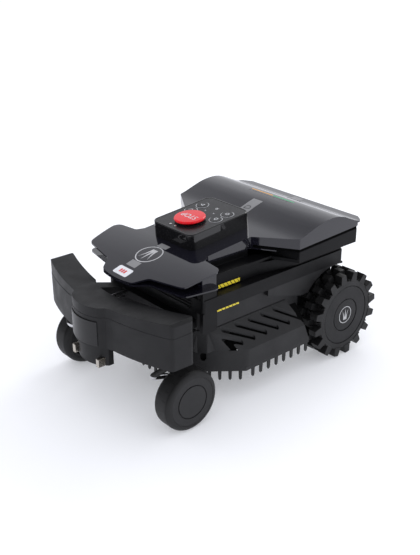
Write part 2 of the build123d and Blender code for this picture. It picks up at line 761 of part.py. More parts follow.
# ---------------------------------------------------------------- dock socket
# A cross tray in the casing carries the socket for the power unit's plug.
tray_z = body_high_z
tray_half_width = 40.0
with BuildPart() as dock_socket:
    with BuildSketch(Plane.XY.offset(tray_z)):
        with Locations((0, bay_middle_y)):
            Rectangle(2 * (recess_half - wall), 2 * tray_half_width)
    extrude(amount=wall)
    with BuildSketch(seat_plane.offset(-base_depth - free_gap)):
        Rectangle(plug_size[0] + 2 * (socket_gap + socket_wall),
                  plug_size[1] + 2 * (socket_gap + socket_wall))
    extrude(until=Until.NEXT, target=dock_socket.part, dir=(0, 0, -1))
    with BuildSketch(seat_plane.offset(-base_depth - free_gap + 1)):
        Rectangle(plug_size[0] + 2 * socket_gap, plug_size[1] + 2 * socket_gap)
    extrude(amount=-plug_size[2] - 2, mode=Mode.SUBTRACT)
dock_socket.part.label = "dock_socket"
export_step(dock_socket.part, "parts/dock_socket.step")

# ---------------------------------------------------------------- drive wheels
# A rubber tyre with three rows of lugs on a plastic hub, a pressed-in cap, and the shaft of the
# gear motor that drives it.
tyre_inner_x = tyre_outer_x - tyre_width
tyre_seat_radius = 57.0
tread_radius = wheel_radius - lug_height
hub_face_x = tyre_outer_x - 1.6
hub_face_thickness = 4.0
hub_face_gap = 0.9
cap_gap = 1.6
cap_depth = 2.4
lug_width = 14.5
lug_sink = 2.0
row_gap = 2.0
row_width = (tyre_width - 2 * row_gap) / 3
shaft_inner_x = 84.0
shaft_outer_x = hub_face_x - 10
gearmotor_inner_x = 30.0
lug_pitch = 360 / lugs_per_row

for side, sign in SIDES:
    with BuildPart() as tyre:
        with BuildSketch(Plane.YZ.offset(sign * tyre_inner_x)):
            with Locations((wheel_axle_y, wheel_radius)):
                Circle(tread_radius)
                Circle(tyre_seat_radius, mode=Mode.SUBTRACT)
        extrude(amount=sign * (tyre_width - 1))
        for row in range(3):
            row_x = tyre_inner_x + row * (row_width + row_gap)
            with BuildSketch(Plane.YZ.offset(sign * row_x)):
                with Locations((wheel_axle_y, wheel_radius)):
                    with PolarLocations(wheel_radius - (lug_height + lug_sink) / 2, lugs_per_row,
                                        start_angle=lug_phase + lug_pitch / 2 * (row % 2)):
                        Trapezoid(lug_width + 3, lug_height + lug_sink, 82, rotation=-90)
                    Circle(wheel_radius, mode=Mode.INTERSECT)
            extrude(amount=sign * row_width)
        with BuildSketch(Plane.YZ.offset(sign * tyre_outer_x)):
            with Locations((wheel_axle_y, wheel_radius)):
                Circle(rim_radius)
        extrude(amount=-sign * (tyre_outer_x - hub_face_x + hub_face_thickness), mode=Mode.SUBTRACT)
    tyre.part.label = f"drive_tyre_{side}"
    export_step(tyre.part, f"parts/drive_tyre_{side}.step")

    with BuildPart() as hub:
        with BuildSketch(Plane.YZ.offset(sign * (tyre_inner_x + 2))):
            with Locations((wheel_axle_y, wheel_radius)):
                Circle(tyre_seat_radius)
        extrude(amount=sign * (hub_face_x - tyre_inner_x - 4))
        with BuildSketch(Plane.YZ.offset(sign * (hub_face_x - hub_face_thickness))):
            with Locations((wheel_axle_y, wheel_radius)):
                Circle(rim_radius - hub_face_gap)
        extrude(amount=sign * hub_face_thickness)
        with BuildSketch(Plane.YZ.offset(sign * hub_face_x)):
            with Locations((wheel_axle_y, wheel_radius)):
                Circle(hub_cap_radius + cap_gap)
        extrude(amount=-sign * cap_depth, mode=Mode.SUBTRACT)
        with BuildSketch(Plane.YZ.offset(sign * (tyre_inner_x + 2))):
            with Locations((wheel_axle_y, wheel_radius)):
                Circle(tyre_seat_radius - 5)
                Circle(4 * drive_shaft_radius, mode=Mode.SUBTRACT)
        extrude(amount=sign * 0.6 * tyre_width, mode=Mode.SUBTRACT)
        with BuildSketch(Plane.YZ.offset(sign * tyre_inner_x)):
            with Locations((wheel_axle_y, wheel_radius)):
                Circle(drive_shaft_radius + running_fit)
        extrude(amount=sign * (shaft_outer_x - tyre_inner_x + running_fit), mode=Mode.SUBTRACT)
    hub.part.label = f"drive_hub_{side}"
    export_step(hub.part, f"parts/drive_hub_{side}.step")

    with BuildPart() as hub_cap:
        with BuildSketch(Plane.YZ.offset(sign * (hub_face_x - cap_depth))):
            with Locations((wheel_axle_y, wheel_radius)):
                Circle(hub_cap_radius)
        extrude(amount=sign * (cap_depth - 0.4))
        fillet(hub_cap.faces().sort_by(Axis.X)[-1 if sign > 0 else 0].edges(), radius=0.8)
    hub_cap.part.label = f"hub_cap_{side}"
    export_step(hub_cap.part, f"parts/hub_cap_{side}.step")

    with BuildPart() as drive_shaft:
        with BuildSketch(Plane.YZ.offset(sign * shaft_inner_x)):
            with Locations((wheel_axle_y, wheel_radius)):
                Circle(drive_shaft_radius)
        extrude(amount=sign * (shaft_outer_x - shaft_inner_x))
    drive_shaft.part.label = f"drive_shaft_{side}"
    export_step(drive_shaft.part, f"parts/drive_shaft_{side}.step")

    with BuildPart() as gearmotor:
        with BuildSketch(Plane.YZ.offset(sign * gearmotor_inner_x)):
            with Locations((wheel_axle_y, wheel_radius)):
                Circle(gearmotor_radius)
        extrude(amount=sign * (rear_box_half - wall - gearmotor_inner_x))
        with BuildSketch(Plane.YZ.offset(sign * (rear_box_half - wall))):
            with Locations((wheel_axle_y, wheel_radius)):
                Circle(gearmotor_nose_radius - running_fit)
        extrude(amount=sign * wall)
        with BuildSketch(Plane.YZ.offset(sign * (shaft_inner_x - 1))):
            with Locations((wheel_axle_y, wheel_radius)):
                Circle(drive_shaft_radius + running_fit)
        extrude(amount=sign * rear_box_half, mode=Mode.SUBTRACT)
    gearmotor.part.label = f"gearmotor_{side}"
    export_step(gearmotor.part, f"parts/gearmotor_{side}.step")

# ---------------------------------------------------------------- front axle beam
# A cross bar on the tub's front wall with an arm to each caster's swivel boss, inside the bumper.
beam_low_z = 151.0
beam_high_z = 172.0
beam_bar_low_z = 156.0
beam_front_y = -150.0
beam_bar_half = 116.0
beam_root_x = 92.0
beam_root_y = -146.0
boss_radius = 12.0
bush_radius = 8.0
bush_flange_radius = 10.5
arm_run = Vector(caster_x - beam_root_x, pivot_y - beam_root_y)

with BuildPart() as front_axle_beam:
    with BuildSketch(Plane.XY.offset(beam_bar_low_z)):
        with Locations((0, (beam_front_y + tub_front_y) / 2)):
            Rectangle(2 * beam_bar_half, tub_front_y - beam_front_y)
    extrude(amount=beam_high_z - beam_bar_low_z)
    for side, sign in SIDES:
        with BuildSketch(Plane.XY.offset(beam_low_z)):
            with Locations((sign * (beam_root_x + caster_x) / 2, (beam_root_y + pivot_y) / 2)):
                SlotCenterToCenter(arm_run.length, 2 * boss_radius,
                                   rotation=-sign * arm_run.get_angle(Vector(1, 0, 0)))
            with Locations((sign * caster_x, pivot_y)):
                Circle(bush_radius, mode=Mode.SUBTRACT)
        extrude(amount=beam_high_z - beam_low_z)
        with BuildSketch(Plane.XZ.offset(-tub_front_y)):
            with Locations((sign * bumper_guide_x, bumper_guide_z)):
                Circle(guide_radius)
        extrude(amount=tub_front_y - beam_front_y + 1, mode=Mode.SUBTRACT)
front_axle_beam.part.label = "front_axle_beam"
export_step(front_axle_beam.part, "parts/front_axle_beam.step")

with BuildPart() as bumper_guides:
    for side, sign in SIDES:
        with BuildSketch(Plane.XZ.offset(-tub_front_y)):
            with Locations((sign * bumper_guide_x, bumper_guide_z)):
                Circle(guide_radius - running_fit)
        extrude(amount=-bumper_guide_end_y + tub_front_y)
bumper_guides.part.label = "bumper_guides"
export_step(bumper_guides.part, "parts/bumper_guides.step")

with BuildPart() as bumper_buffers:
    for side, sign in SIDES:
        with BuildSketch(Plane.XZ.offset(-buffer_rear_y)):
            with Locations((sign * bumper_guide_x, bumper_guide_z)):
                Circle(buffer_radius)
                Circle(guide_radius, mode=Mode.SUBTRACT)
        extrude(amount=buffer_rear_y - buffer_front_y)
bumper_buffers.part.label = "bumper_buffers"
export_step(bumper_buffers.part, "parts/bumper_buffers.step")

# ---------------------------------------------------------------- casters
# A bent bright rod is stem, arm and axle in one; the wheel turns on its lower end.
clip_thickness = 2.6
rod_bend = 7.5
arm_x = 128.0
arm_front_y = -244.0
arm_top_z = 133.0
arm_front_z = 104.0
arm_rear_y = -207.0
arm_rear_z = 92.0
axle_end_x = caster_x + 10.0
caster_outer_x = caster_x + caster_width / 2
tyre_shoulder = 9.5
caster_rim_inset = 1.8
bush_flange = 1.5
caster_cap_gap = 1.5
caster_cap_depth = 2.2

for side, sign in SIDES:
    with BuildPart() as caster_bush:
        with BuildSketch(Plane.XY.offset(beam_low_z)):
            with Locations((sign * caster_x, pivot_y)):
                Circle(bush_radius - running_fit)
        extrude(amount=beam_high_z - beam_low_z)
        with BuildSketch(Plane.XY.offset(beam_high_z)):
            with Locations((sign * caster_x, pivot_y)):
                Circle(bush_flange_radius)
        extrude(amount=bush_flange)
        with BuildSketch(Plane.XY.offset(beam_low_z - 1)):
            with Locations((sign * caster_x, pivot_y)):
                Circle(stem_radius + running_fit)
        extrude(amount=beam_high_z, mode=Mode.SUBTRACT)
    caster_bush.part.label = f"caster_bush_{side}"
    export_step(caster_bush.part, f"parts/caster_bush_{side}.step")

    with BuildPart() as caster_arm:
        with BuildLine() as rod:
            FilletPolyline(
                (sign * caster_x, pivot_y, beam_high_z + bush_flange + free_gap + clip_thickness),
                (sign * caster_x, pivot_y, arm_top_z),
                (sign * arm_x, arm_front_y, arm_front_z),
                (sign * arm_x, arm_rear_y, arm_rear_z),
                (sign * arm_x, caster_axle_y, caster_radius),
                (sign * axle_end_x, caster_axle_y, caster_radius),
                radius=rod_bend,
            )
        with BuildSketch(Plane(origin=rod.line @ 0, z_dir=rod.line % 0)):
            Circle(stem_radius)
        sweep()
        with BuildSketch(Plane.XY.offset(beam_high_z + bush_flange + free_gap)):
            with Locations((sign * caster_x, pivot_y)):
                Circle(bush_radius)
        extrude(amount=clip_thickness)
        with BuildSketch(Plane.XY.offset(beam_low_z - free_gap)):
            with Locations((sign * caster_x, pivot_y)):
                Circle(bush_radius)
        extrude(amount=-clip_thickness)
    caster_arm.part.label = f"caster_arm_{side}"
    export_step(caster_arm.part, f"parts/caster_arm_{side}.step")

    with BuildPart() as caster_tyre:
        with BuildSketch(Plane.YZ.offset(sign * (caster_x - caster_width / 2))):
            with Locations((caster_axle_y, caster_radius)):
                Circle(caster_radius)
        extrude(amount=sign * caster_width)
        fillet(caster_tyre.edges().filter_by(GeomType.CIRCLE), radius=tyre_shoulder)
        with BuildSketch(Plane.YZ.offset(sign * (caster_x - caster_width / 2))):
            with Locations((caster_axle_y, caster_radius)):
                Circle(caster_rim_radius)
        extrude(amount=sign * caster_width, mode=Mode.SUBTRACT)
    caster_tyre.part.label = f"caster_tyre_{side}"
    export_step(caster_tyre.part, f"parts/caster_tyre_{side}.step")

    with BuildPart() as caster_rim:
        with BuildSketch(Plane.YZ.offset(sign * (caster_x - caster_width / 2 + caster_rim_inset))):
            with Locations((caster_axle_y, caster_radius)):
                Circle(caster_rim_radius)
        extrude(amount=sign * (caster_width - caster_rim_inset))
        with BuildSketch(Plane.YZ.offset(sign * caster_outer_x)):
            with Locations((caster_axle_y, caster_radius)):
                Circle(caster_cap_radius + caster_cap_gap)
        extrude(amount=-sign * caster_cap_depth, mode=Mode.SUBTRACT)
        with BuildSketch(Plane.YZ.offset(sign * (caster_x - caster_width / 2))):
            with Locations((caster_axle_y, caster_radius)):
                Circle(caster_rim_radius - 5)
                Circle(3 * stem_radius, mode=Mode.SUBTRACT)
        extrude(amount=sign * 0.7 * caster_width, mode=Mode.SUBTRACT)
        with BuildSketch(Plane.YZ.offset(sign * (caster_x - caster_width / 2))):
            with Locations((caster_axle_y, caster_radius)):
                Circle(stem_radius + running_fit)
        extrude(amount=sign * (axle_end_x + free_gap - caster_x + caster_width / 2), mode=Mode.SUBTRACT)
    caster_rim.part.label = f"caster_rim_{side}"
    export_step(caster_rim.part, f"parts/caster_rim_{side}.step")

    with BuildPart() as caster_cap:
        with BuildSketch(Plane.YZ.offset(sign * (caster_outer_x - caster_cap_depth))):
            with Locations((caster_axle_y, caster_radius)):
                Circle(caster_cap_radius)
        extrude(amount=sign * caster_cap_depth)
        fillet(caster_cap.faces().sort_by(Axis.X)[-1 if sign > 0 else 0].edges(), radius=0.8)
    caster_cap.part.label = f"caster_cap_{side}"
    export_step(caster_cap.part, f"parts/caster_cap_{side}.step")

# ---------------------------------------------------------------- bumper
# A two-part shell on guide rods, open below and at the back of each wing, with a front panel
# and a jaw that carries the charging contacts.
wing_front_y = -241.0
wing_rear_y = -190.0
brow_half = 41.0
brow_y = -286.5
front_y = -298.2
face_thickness = 1.8
face_gap = 0.2
face_half = 38.5
face_low_z = 143.0
face_high_z = 190.0
jaw_rear_y = -262.0
jaw_setback = 6.0
window_inner_x = 96.0
window_high_z = 190.0
sleeve_radius = 9.0
buffer_room = 1.5
sleeve_front_y = -270.0
bumper_edge = 6.0
bumper_corner = 9.0
centre_half = 60.0
contact_x = 37.0
contact_front_y = -292.2
contact_rear_y = -276.0


def bumper_plan(inset):
    """Plan of the bumper: a forward centre and two swept-back wings."""
    with BuildSketch() as plan:
        with BuildLine():
            ThreePointArc((-brow_half, brow_y), (0, front_y), (brow_half, brow_y))
            Polyline((brow_half, brow_y), (48, -277.5), (60, -273.5))
            ThreePointArc((60, -273.5), (124, -262), (bumper_end_x - 1, wing_front_y))
            Polyline((bumper_end_x - 1, wing_front_y), (bumper_end_x, wing_rear_y))
            ThreePointArc((bumper_end_x, wing_rear_y), (124, -209), (60, -221))
            Polyline((60, -221), (50, -229))
            ThreePointArc((50, -229), (0, -236), (-50, -229))
            Polyline((-50, -229), (-60, -221))
            ThreePointArc((-60, -221), (-124, -209), (-bumper_end_x, wing_rear_y))
            Polyline((-bumper_end_x, wing_rear_y), (1 - bumper_end_x, wing_front_y))
            ThreePointArc((1 - bumper_end_x, wing_front_y), (-124, -262), (-60, -273.5))
            Polyline((-60, -273.5), (-48, -277.5), (-brow_half, brow_y))
        make_face()
        fillet(plan.vertices().filter_by(lambda v: abs(v.X) > caster_x), radius=bumper_corner)
        if inset:
            offset(amount=-inset, kind=Kind.TANGENT)
    return plan.sketch


with BuildPart() as bumper_body:
    with BuildSketch(Plane.XY.offset(bumper_low_z)):
        add(bumper_plan(0))
    extrude(amount=bumper_seam_z - bumper_low_z)
    with BuildSketch(Plane.XY.offset(bumper_low_z)):
        add(bumper_plan(wall))
    extrude(amount=bumper_seam_z - bumper_low_z, mode=Mode.SUBTRACT)
    # Windows in the back of the wings for the axle beam's arms.
    for side, sign in SIDES:
        with BuildSketch(Plane.XY.offset(bumper_low_z)):
            with Locations((sign * (window_inner_x + bumper_end_x - 2 * wall) / 2,
                            (wing_rear_y + pivot_y) / 2 + wall)):
                Rectangle(bumper_end_x - 2 * wall - window_inner_x, wing_rear_y - pivot_y + 2 * wall)
        extrude(amount=window_high_z - bumper_low_z, mode=Mode.SUBTRACT)
    # Guide sleeves behind the front wall.
    for side, sign in SIDES:
        with BuildSketch(Plane.XZ.offset(-sleeve_rear_y)):
            with Locations((sign * bumper_guide_x, bumper_guide_z)):
                Circle(sleeve_radius)
        extrude(amount=sleeve_rear_y - sleeve_front_y)
        with BuildSketch(Plane.XZ.offset(-sleeve_rear_y)):
            with Locations((sign * bumper_guide_x, bumper_guide_z)):
                Circle(guide_radius + running_fit)
        extrude(amount=sleeve_rear_y - bumper_guide_end_y + bumper_travel + 1, mode=Mode.SUBTRACT)
        with BuildSketch(Plane.XZ.offset(-wing_rear_y)):
            with Locations((sign * bumper_guide_x, bumper_guide_z)):
                Circle(buffer_radius + buffer_room)
        extrude(amount=wing_rear_y - sleeve_rear_y, mode=Mode.SUBTRACT)
    # Jaw below the centre, set back under a shelf across the shell's open underside.
    for inset, low_z in ((jaw_setback, jaw_low_z), (wall / 2, bumper_low_z)):
        with BuildSketch(Plane.XY.offset(low_z)):
            add(bumper_plan(inset))
            with Locations((0, (front_y + jaw_rear_y) / 2)):
                Rectangle(2 * jaw_half, jaw_rear_y - front_y, mode=Mode.INTERSECT)
        extrude(amount=bumper_low_z + wall - low_z)
    with BuildSketch(Plane.XY.offset(jaw_low_z + wall)):
        with Locations((0, (jaw_rear_y + contact_rear_y) / 2)):
            Rectangle(2 * (jaw_half - wall), jaw_rear_y - contact_rear_y - 2 * wall)
    extrude(amount=bumper_low_z, mode=Mode.SUBTRACT)
    for side, sign in SIDES:
        with BuildSketch(Plane.XY.offset(jaw_low_z)):
            with Locations((sign * contact_x, (contact_front_y + contact_rear_y) / 2)):
                Rectangle(contact_width, contact_rear_y - contact_front_y)
        extrude(amount=contact_height, mode=Mode.SUBTRACT)
bumper_body.part.label = "bumper_body"
export_step(bumper_body.part, "parts/bumper_body.step")

with BuildPart() as bumper_cap:
    with BuildSketch(Plane.XZ.offset(-wing_rear_y)):
        with BuildLine():
            Polyline(
                (-bumper_end_x, bumper_seam_z),
                (-bumper_end_x, bumper_end_z - bumper_edge),
                (bumper_edge - bumper_end_x, bumper_end_z),
                (-centre_half, bumper_mid_z),
                (centre_half, bumper_mid_z),
                (bumper_end_x - bumper_edge, bumper_end_z),
                (bumper_end_x, bumper_end_z - bumper_edge),
                (bumper_end_x, bumper_seam_z),
                close=True,
            )
        make_face()
    extrude(amount=wing_rear_y - front_y + 1)
    with BuildSketch(Plane.XY):
        add(bumper_plan(0.4))
    extrude(amount=crest_z, mode=Mode.INTERSECT)
    with BuildSketch(Plane.XY.offset(bumper_seam_z)):
        add(bumper_plan(wall))
    extrude(amount=bumper_mid_z - bumper_seam_z - wall, mode=Mode.SUBTRACT)
bumper_cap.part.label = "bumper_cap"
export_step(bumper_cap.part, "parts/bumper_cap.step")

with BuildPart() as bumper_face:
    with BuildSketch(Plane.XY.offset(face_low_z)):
        add(bumper_plan(-face_thickness))
        add(bumper_plan(-face_gap), mode=Mode.SUBTRACT)
        with Locations((0, front_y)):
            Rectangle(2 * face_half, 2 * (brow_y - front_y), mode=Mode.INTERSECT)
    extrude(amount=face_high_z - face_low_z)
bumper_face.part.label = "bumper_face"
export_step(bumper_face.part, "parts/bumper_face.step")

for side, sign in SIDES:
    with BuildPart() as charge_contact:
        with BuildSketch(Plane.XY.offset(jaw_low_z)):
            with Locations((sign * contact_x, (contact_front_y + contact_rear_y) / 2)):
                Rectangle(contact_width, contact_rear_y - contact_front_y)
        extrude(amount=contact_height)
    charge_contact.part.label = f"charge_contact_{side}"
    export_step(charge_contact.part, f"parts/charge_contact_{side}.step")

# ---------------------------------------------------------------- cutting unit
# The blade motor sits in a carriage that slides on upright rods to set the cutting height; the
# star blade is bolted under its hub.
carriage_wall = 4.0
carriage_low_z = 86.0
guide_count = 3
guide_circle = 52.0
guide_rod_radius = 4.0
guide_top_z = 184.0
ear_low_z = 130.0
ear_height = 12.0
ear_radius = 9.0
ear_root = carriage_radius - carriage_wall
blade_shaft_radius = 5.0
blade_hub_radius = 22.0
blade_hub_height = 6.0
blade_arms = 4
blade_arm_root = 20.0
nut_height = 6.0
motor_low_z = carriage_low_z + wall
shaft_top_z = motor_low_z + 20.0

with BuildPart() as carriage_guides:
    with BuildSketch(Plane.XY.offset(tub_floor_z)):
        with Locations((0, blade_y)):
            with PolarLocations(guide_circle, guide_count, start_angle=90):
                Circle(guide_rod_radius)
    extrude(amount=guide_top_z - tub_floor_z)
carriage_guides.part.label = "carriage_guides"
export_step(carriage_guides.part, "parts/carriage_guides.step")

with BuildPart() as carriage:
    with BuildSketch(Plane.XY.offset(carriage_low_z)):
        with Locations((0, blade_y)):
            Circle(carriage_radius)
    extrude(amount=motor_height + wall)
    with BuildSketch(Plane.XY.offset(ear_low_z)):
        with Locations((0, blade_y)):
            with PolarLocations(guide_circle, guide_count, start_angle=90):
                Circle(ear_radius)
            with PolarLocations((guide_circle + ear_root) / 2, guide_count, start_angle=90):
                Rectangle(guide_circle - ear_root, 2 * ear_radius)
    extrude(amount=ear_height)
    with BuildSketch(Plane.XY.offset(ear_low_z)):
        with Locations((0, blade_y)):
            with PolarLocations(guide_circle, guide_count, start_angle=90):
                Circle(guide_rod_radius + running_fit)
    extrude(amount=ear_height, mode=Mode.SUBTRACT)
    with BuildSketch(Plane.XY.offset(motor_low_z)):
        with Locations((0, blade_y)):
            Circle(motor_radius + running_fit)
    extrude(amount=motor_height, mode=Mode.SUBTRACT)
    with BuildSketch(Plane.XY.offset(carriage_low_z)):
        with Locations((0, blade_y)):
            Circle(blade_shaft_radius + wall)
    extrude(amount=wall, mode=Mode.SUBTRACT)
carriage.part.label = "height_carriage"
export_step(carriage.part, "parts/height_carriage.step")

with BuildPart() as blade_motor:
    with BuildSketch(Plane.XY.offset(motor_low_z)):
        with Locations((0, blade_y)):
            Circle(motor_radius)
    extrude(amount=motor_height)
    fillet(blade_motor.faces().sort_by(Axis.Z)[-1].edges(), radius=3)
    with BuildSketch(Plane.XY.offset(motor_low_z)):
        with Locations((0, blade_y)):
            Circle(blade_shaft_radius + running_fit)
    extrude(amount=shaft_top_z - motor_low_z + 1, mode=Mode.SUBTRACT)
blade_motor.part.label = "blade_motor"
export_step(blade_motor.part, "parts/blade_motor.step")

with BuildPart() as blade_hub:
    with BuildSketch(Plane.XY.offset(blade_z + blade_thickness / 2)):
        with Locations((0, blade_y)):
            Circle(blade_hub_radius)
    extrude(amount=blade_hub_height)
    with BuildSketch(Plane.XY.offset(blade_z - blade_thickness / 2 - nut_height)):
        with Locations((0, blade_y)):
            Circle(blade_shaft_radius)
    extrude(amount=shaft_top_z - blade_z + blade_thickness / 2 + nut_height)
blade_hub.part.label = "blade_hub"
export_step(blade_hub.part, "parts/blade_hub.step")

with BuildPart() as star_blade:
    with BuildSketch(Plane.XY.offset(blade_z - blade_thickness / 2)):
        with Locations((0, blade_y)):
            with PolarLocations(blade_radius / 2 - 2, blade_arms):
                Trapezoid(2 * blade_arm_root, blade_radius - 4, 82, rotation=-90)
            Circle(blade_radius, mode=Mode.INTERSECT)
            Circle(blade_shaft_radius + running_fit, mode=Mode.SUBTRACT)
    extrude(amount=blade_thickness)
star_blade.part.label = "star_blade"
export_step(star_blade.part, "parts/star_blade.step")

with BuildPart() as blade_nut:
    with BuildSketch(Plane.XY.offset(blade_z - blade_thickness / 2)):
        with Locations((0, blade_y)):
            RegularPolygon(2 * blade_shaft_radius, 6)
            Circle(blade_shaft_radius + running_fit, mode=Mode.SUBTRACT)
    extrude(amount=-nut_height)
blade_nut.part.label = "blade_nut"
export_step(blade_nut.part, "parts/blade_nut.step")

# ---------------------------------------------------------------- marker strips
# Thin plain strips on the recess wall and on the tub's wall under the band.
strip_thickness = 0.5
strip_runs = {
    "upper": (recess_half, -84.0, -32.0, 219.0, 226.0),
    "lower": (tub_half, -98.0, -43.0, 181.0, 187.0),
}
for name, (strip_x, strip_front_y, strip_rear_y, strip_low_z, strip_high_z) in strip_runs.items():
    with BuildPart() as strips:
        for side, sign in SIDES:
            with BuildSketch(Plane.YZ.offset(sign * strip_x)):
                with Locations(((strip_front_y + strip_rear_y) / 2, (strip_low_z + strip_high_z) / 2)):
                    Rectangle(strip_rear_y - strip_front_y, strip_high_z - strip_low_z)
            extrude(amount=sign * strip_thickness)
    strips.part.label = f"marker_strips_{name}"
    export_step(strips.part, f"parts/marker_strips_{name}.step")
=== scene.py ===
import json
from math import cos, pi, radians, sin, tan

import bmesh
import bpy
from mathutils import Matrix, Vector
from mathutils.bvhtree import BVHTree

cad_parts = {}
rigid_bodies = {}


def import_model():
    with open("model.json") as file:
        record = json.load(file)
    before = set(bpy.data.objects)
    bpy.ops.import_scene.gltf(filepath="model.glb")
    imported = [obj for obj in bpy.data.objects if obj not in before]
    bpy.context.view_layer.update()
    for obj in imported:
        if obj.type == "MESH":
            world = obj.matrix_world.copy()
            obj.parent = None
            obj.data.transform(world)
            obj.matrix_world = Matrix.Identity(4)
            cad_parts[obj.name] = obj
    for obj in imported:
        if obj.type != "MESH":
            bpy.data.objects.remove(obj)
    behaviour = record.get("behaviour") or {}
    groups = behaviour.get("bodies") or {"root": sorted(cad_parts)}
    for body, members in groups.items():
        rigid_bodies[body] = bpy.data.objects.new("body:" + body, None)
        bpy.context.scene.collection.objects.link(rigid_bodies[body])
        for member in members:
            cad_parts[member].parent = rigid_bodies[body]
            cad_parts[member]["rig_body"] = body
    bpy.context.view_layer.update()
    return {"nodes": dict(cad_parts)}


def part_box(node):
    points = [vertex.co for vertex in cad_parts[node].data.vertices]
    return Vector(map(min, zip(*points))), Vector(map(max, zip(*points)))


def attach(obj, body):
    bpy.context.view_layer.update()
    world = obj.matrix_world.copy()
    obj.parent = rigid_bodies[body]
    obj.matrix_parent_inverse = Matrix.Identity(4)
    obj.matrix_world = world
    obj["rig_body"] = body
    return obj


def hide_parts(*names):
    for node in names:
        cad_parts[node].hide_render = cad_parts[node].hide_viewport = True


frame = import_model()


# ------------------------------ cutting deck
# The deck is one charcoal ABS moulding: skirt, slotted slopes and the tub that holds the works.
# It has the fine spark-eroded grain of an outdoor moulding, and every edge is slightly broken.
def fill(tree, node, inputs):
    """Gives each named input its value, or joins it to another node's output."""
    for name, value in inputs.items():
        if isinstance(value, bpy.types.NodeSocket):
            tree.links.new(value, node.inputs[name])
        else:
            node.inputs[name].default_value = value


def place_node(tree, kind, inputs=None, **settings):
    """Adds a node, sets its options, then fills in its inputs."""
    node = tree.nodes.new(kind)
    for option, value in settings.items():
        setattr(node, option, value)
    fill(tree, node, inputs or {})
    return node


def maths(tree, operation, *values):
    """The result of a Math node, from numbers or other nodes' outputs."""
    return place_node(tree, "ShaderNodeMath", dict(enumerate(values)), operation=operation).outputs[0]


def ranged(tree, value, low, high, start=0.0, stop=1.0):
    """A value between start and stop, mapped to run from low to high."""
    return place_node(tree, "ShaderNodeMapRange", {"Value": value, "From Min": start, "From Max": stop, "To Min": low,
                      "To Max": high}).outputs["Result"]


def blended(tree, factor, first, second):
    """A colour between two others."""
    return place_node(tree, "ShaderNodeMix", {"Factor": factor, "A": first, "B": second},
                      data_type="RGBA").outputs["Result"]


def surface_place(tree):
    """Where a point of the surface is, in metres from the machine's origin."""
    return place_node(tree, "ShaderNodeTexCoord").outputs["Object"]


def noise(tree, place, scale, detail=2.0, roughness=0.5):
    """Even noise about one half."""
    return place_node(tree, "ShaderNodeTexNoise", {"Vector": place, "Scale": scale, "Detail": detail,
                      "Roughness": roughness}).outputs["Fac"]


def bumped(tree, height, depth):
    """A surface normal pushed about by a height."""
    return place_node(tree, "ShaderNodeBump", {"Height": height, "Distance": depth}).outputs["Normal"]


def new_finish(name):
    """A new node material, with its tree and its shader."""
    material = bpy.data.materials.new(name)
    material.use_nodes = True
    return material, material.node_tree, material.node_tree.nodes["Principled BSDF"]


def moulded_grain_group():
    """Shared grain of the moulded plastics: a pebbled height and a slow mottle."""
    group = bpy.data.node_groups.new("moulded_grain", "ShaderNodeTree")
    for direction, names in (("INPUT", ("Pebble Size", "Mottle Size")), ("OUTPUT", ("Height", "Mottle"))):
        for name in names:
            group.interface.new_socket(name, in_out=direction, socket_type="NodeSocketFloat")
    given = group.nodes.new("NodeGroupInput").outputs
    place = surface_place(group)
    pebble_scale = maths(group, "DIVIDE", 1.0, given["Pebble Size"])
    pebbles = place_node(group, "ShaderNodeTexVoronoi", {"Vector": place, "Scale": pebble_scale}, feature="SMOOTH_F1")
    speckle = noise(group, place, pebble_scale, 3.0, 0.6)
    mottle = noise(group, place, maths(group, "DIVIDE", 1.0, given["Mottle Size"]), 4.0, 0.55)
    fill(group, group.nodes.new("NodeGroupOutput"), {
        "Height": maths(group, "MULTIPLY_ADD", pebbles.outputs["Distance"], 0.8, speckle), "Mottle": mottle})
    return group


MOULDED_GRAIN = moulded_grain_group()


def grained_plastic(name, dark, light, rough, pebble, mottle, depth, specular=0.5):
    """Moulded plastic: a slow drift between two colours, a pebbled bump and a roughness range."""
    material, tree, shader = new_finish(name)
    grain = place_node(tree, "ShaderNodeGroup", node_tree=MOULDED_GRAIN)
    fill(tree, grain, {"Pebble Size": pebble, "Mottle Size": mottle})
    drift = grain.outputs["Mottle"]
    fill(tree, shader, {
        "Base Color": blended(tree, drift, (*dark, 1), (*light, 1)),
        "Roughness": ranged(tree, drift, *rough, 0.3, 0.7), "Specular IOR Level": specular,
        "Normal": bumped(tree, grain.outputs["Height"], depth)})
    return material


def new_piece(name, mesh):
    """A new object in the scene that holds the mesh."""
    piece = bpy.data.objects.new(name, mesh)
    bpy.context.scene.collection.objects.link(piece)
    return piece


def mesh_from(shape, name):
    """A plain mesh made from an edit shape, which is then let go."""
    mesh = bpy.data.meshes.new(name)
    shape.to_mesh(mesh)
    shape.free()
    return mesh


def softened(node, name, edge, sharp=30.0, steps=2, merged=True):
    """A copy of a moulding with its sharp edges rounded off, its flat triangles merged if asked."""
    mesh = frame["nodes"][node].data.copy()
    mesh.name = name
    mesh.materials.clear()
    shape = bmesh.new()
    shape.from_mesh(mesh)
    bmesh.ops.remove_doubles(shape, verts=shape.verts, dist=5e-6)
    if merged:
        bmesh.ops.dissolve_limit(shape, angle_limit=radians(0.8), verts=shape.verts, edges=shape.edges)
    shape.to_mesh(mesh)
    shape.free()
    if "custom_normal" in mesh.attributes:
        mesh.attributes.remove(mesh.attributes["custom_normal"])
    mesh.shade_smooth()
    mesh.set_sharp_from_angle(angle=radians(sharp))
    piece = new_piece(name, mesh)
    if edge:
        rounding = piece.modifiers.new("broken_edges", "BEVEL")
        rounding.width = edge
        rounding.segments = steps
        rounding.limit_method = "ANGLE"
        rounding.angle_limit = radians(sharp)
        rounding.harden_normals = True
    return piece


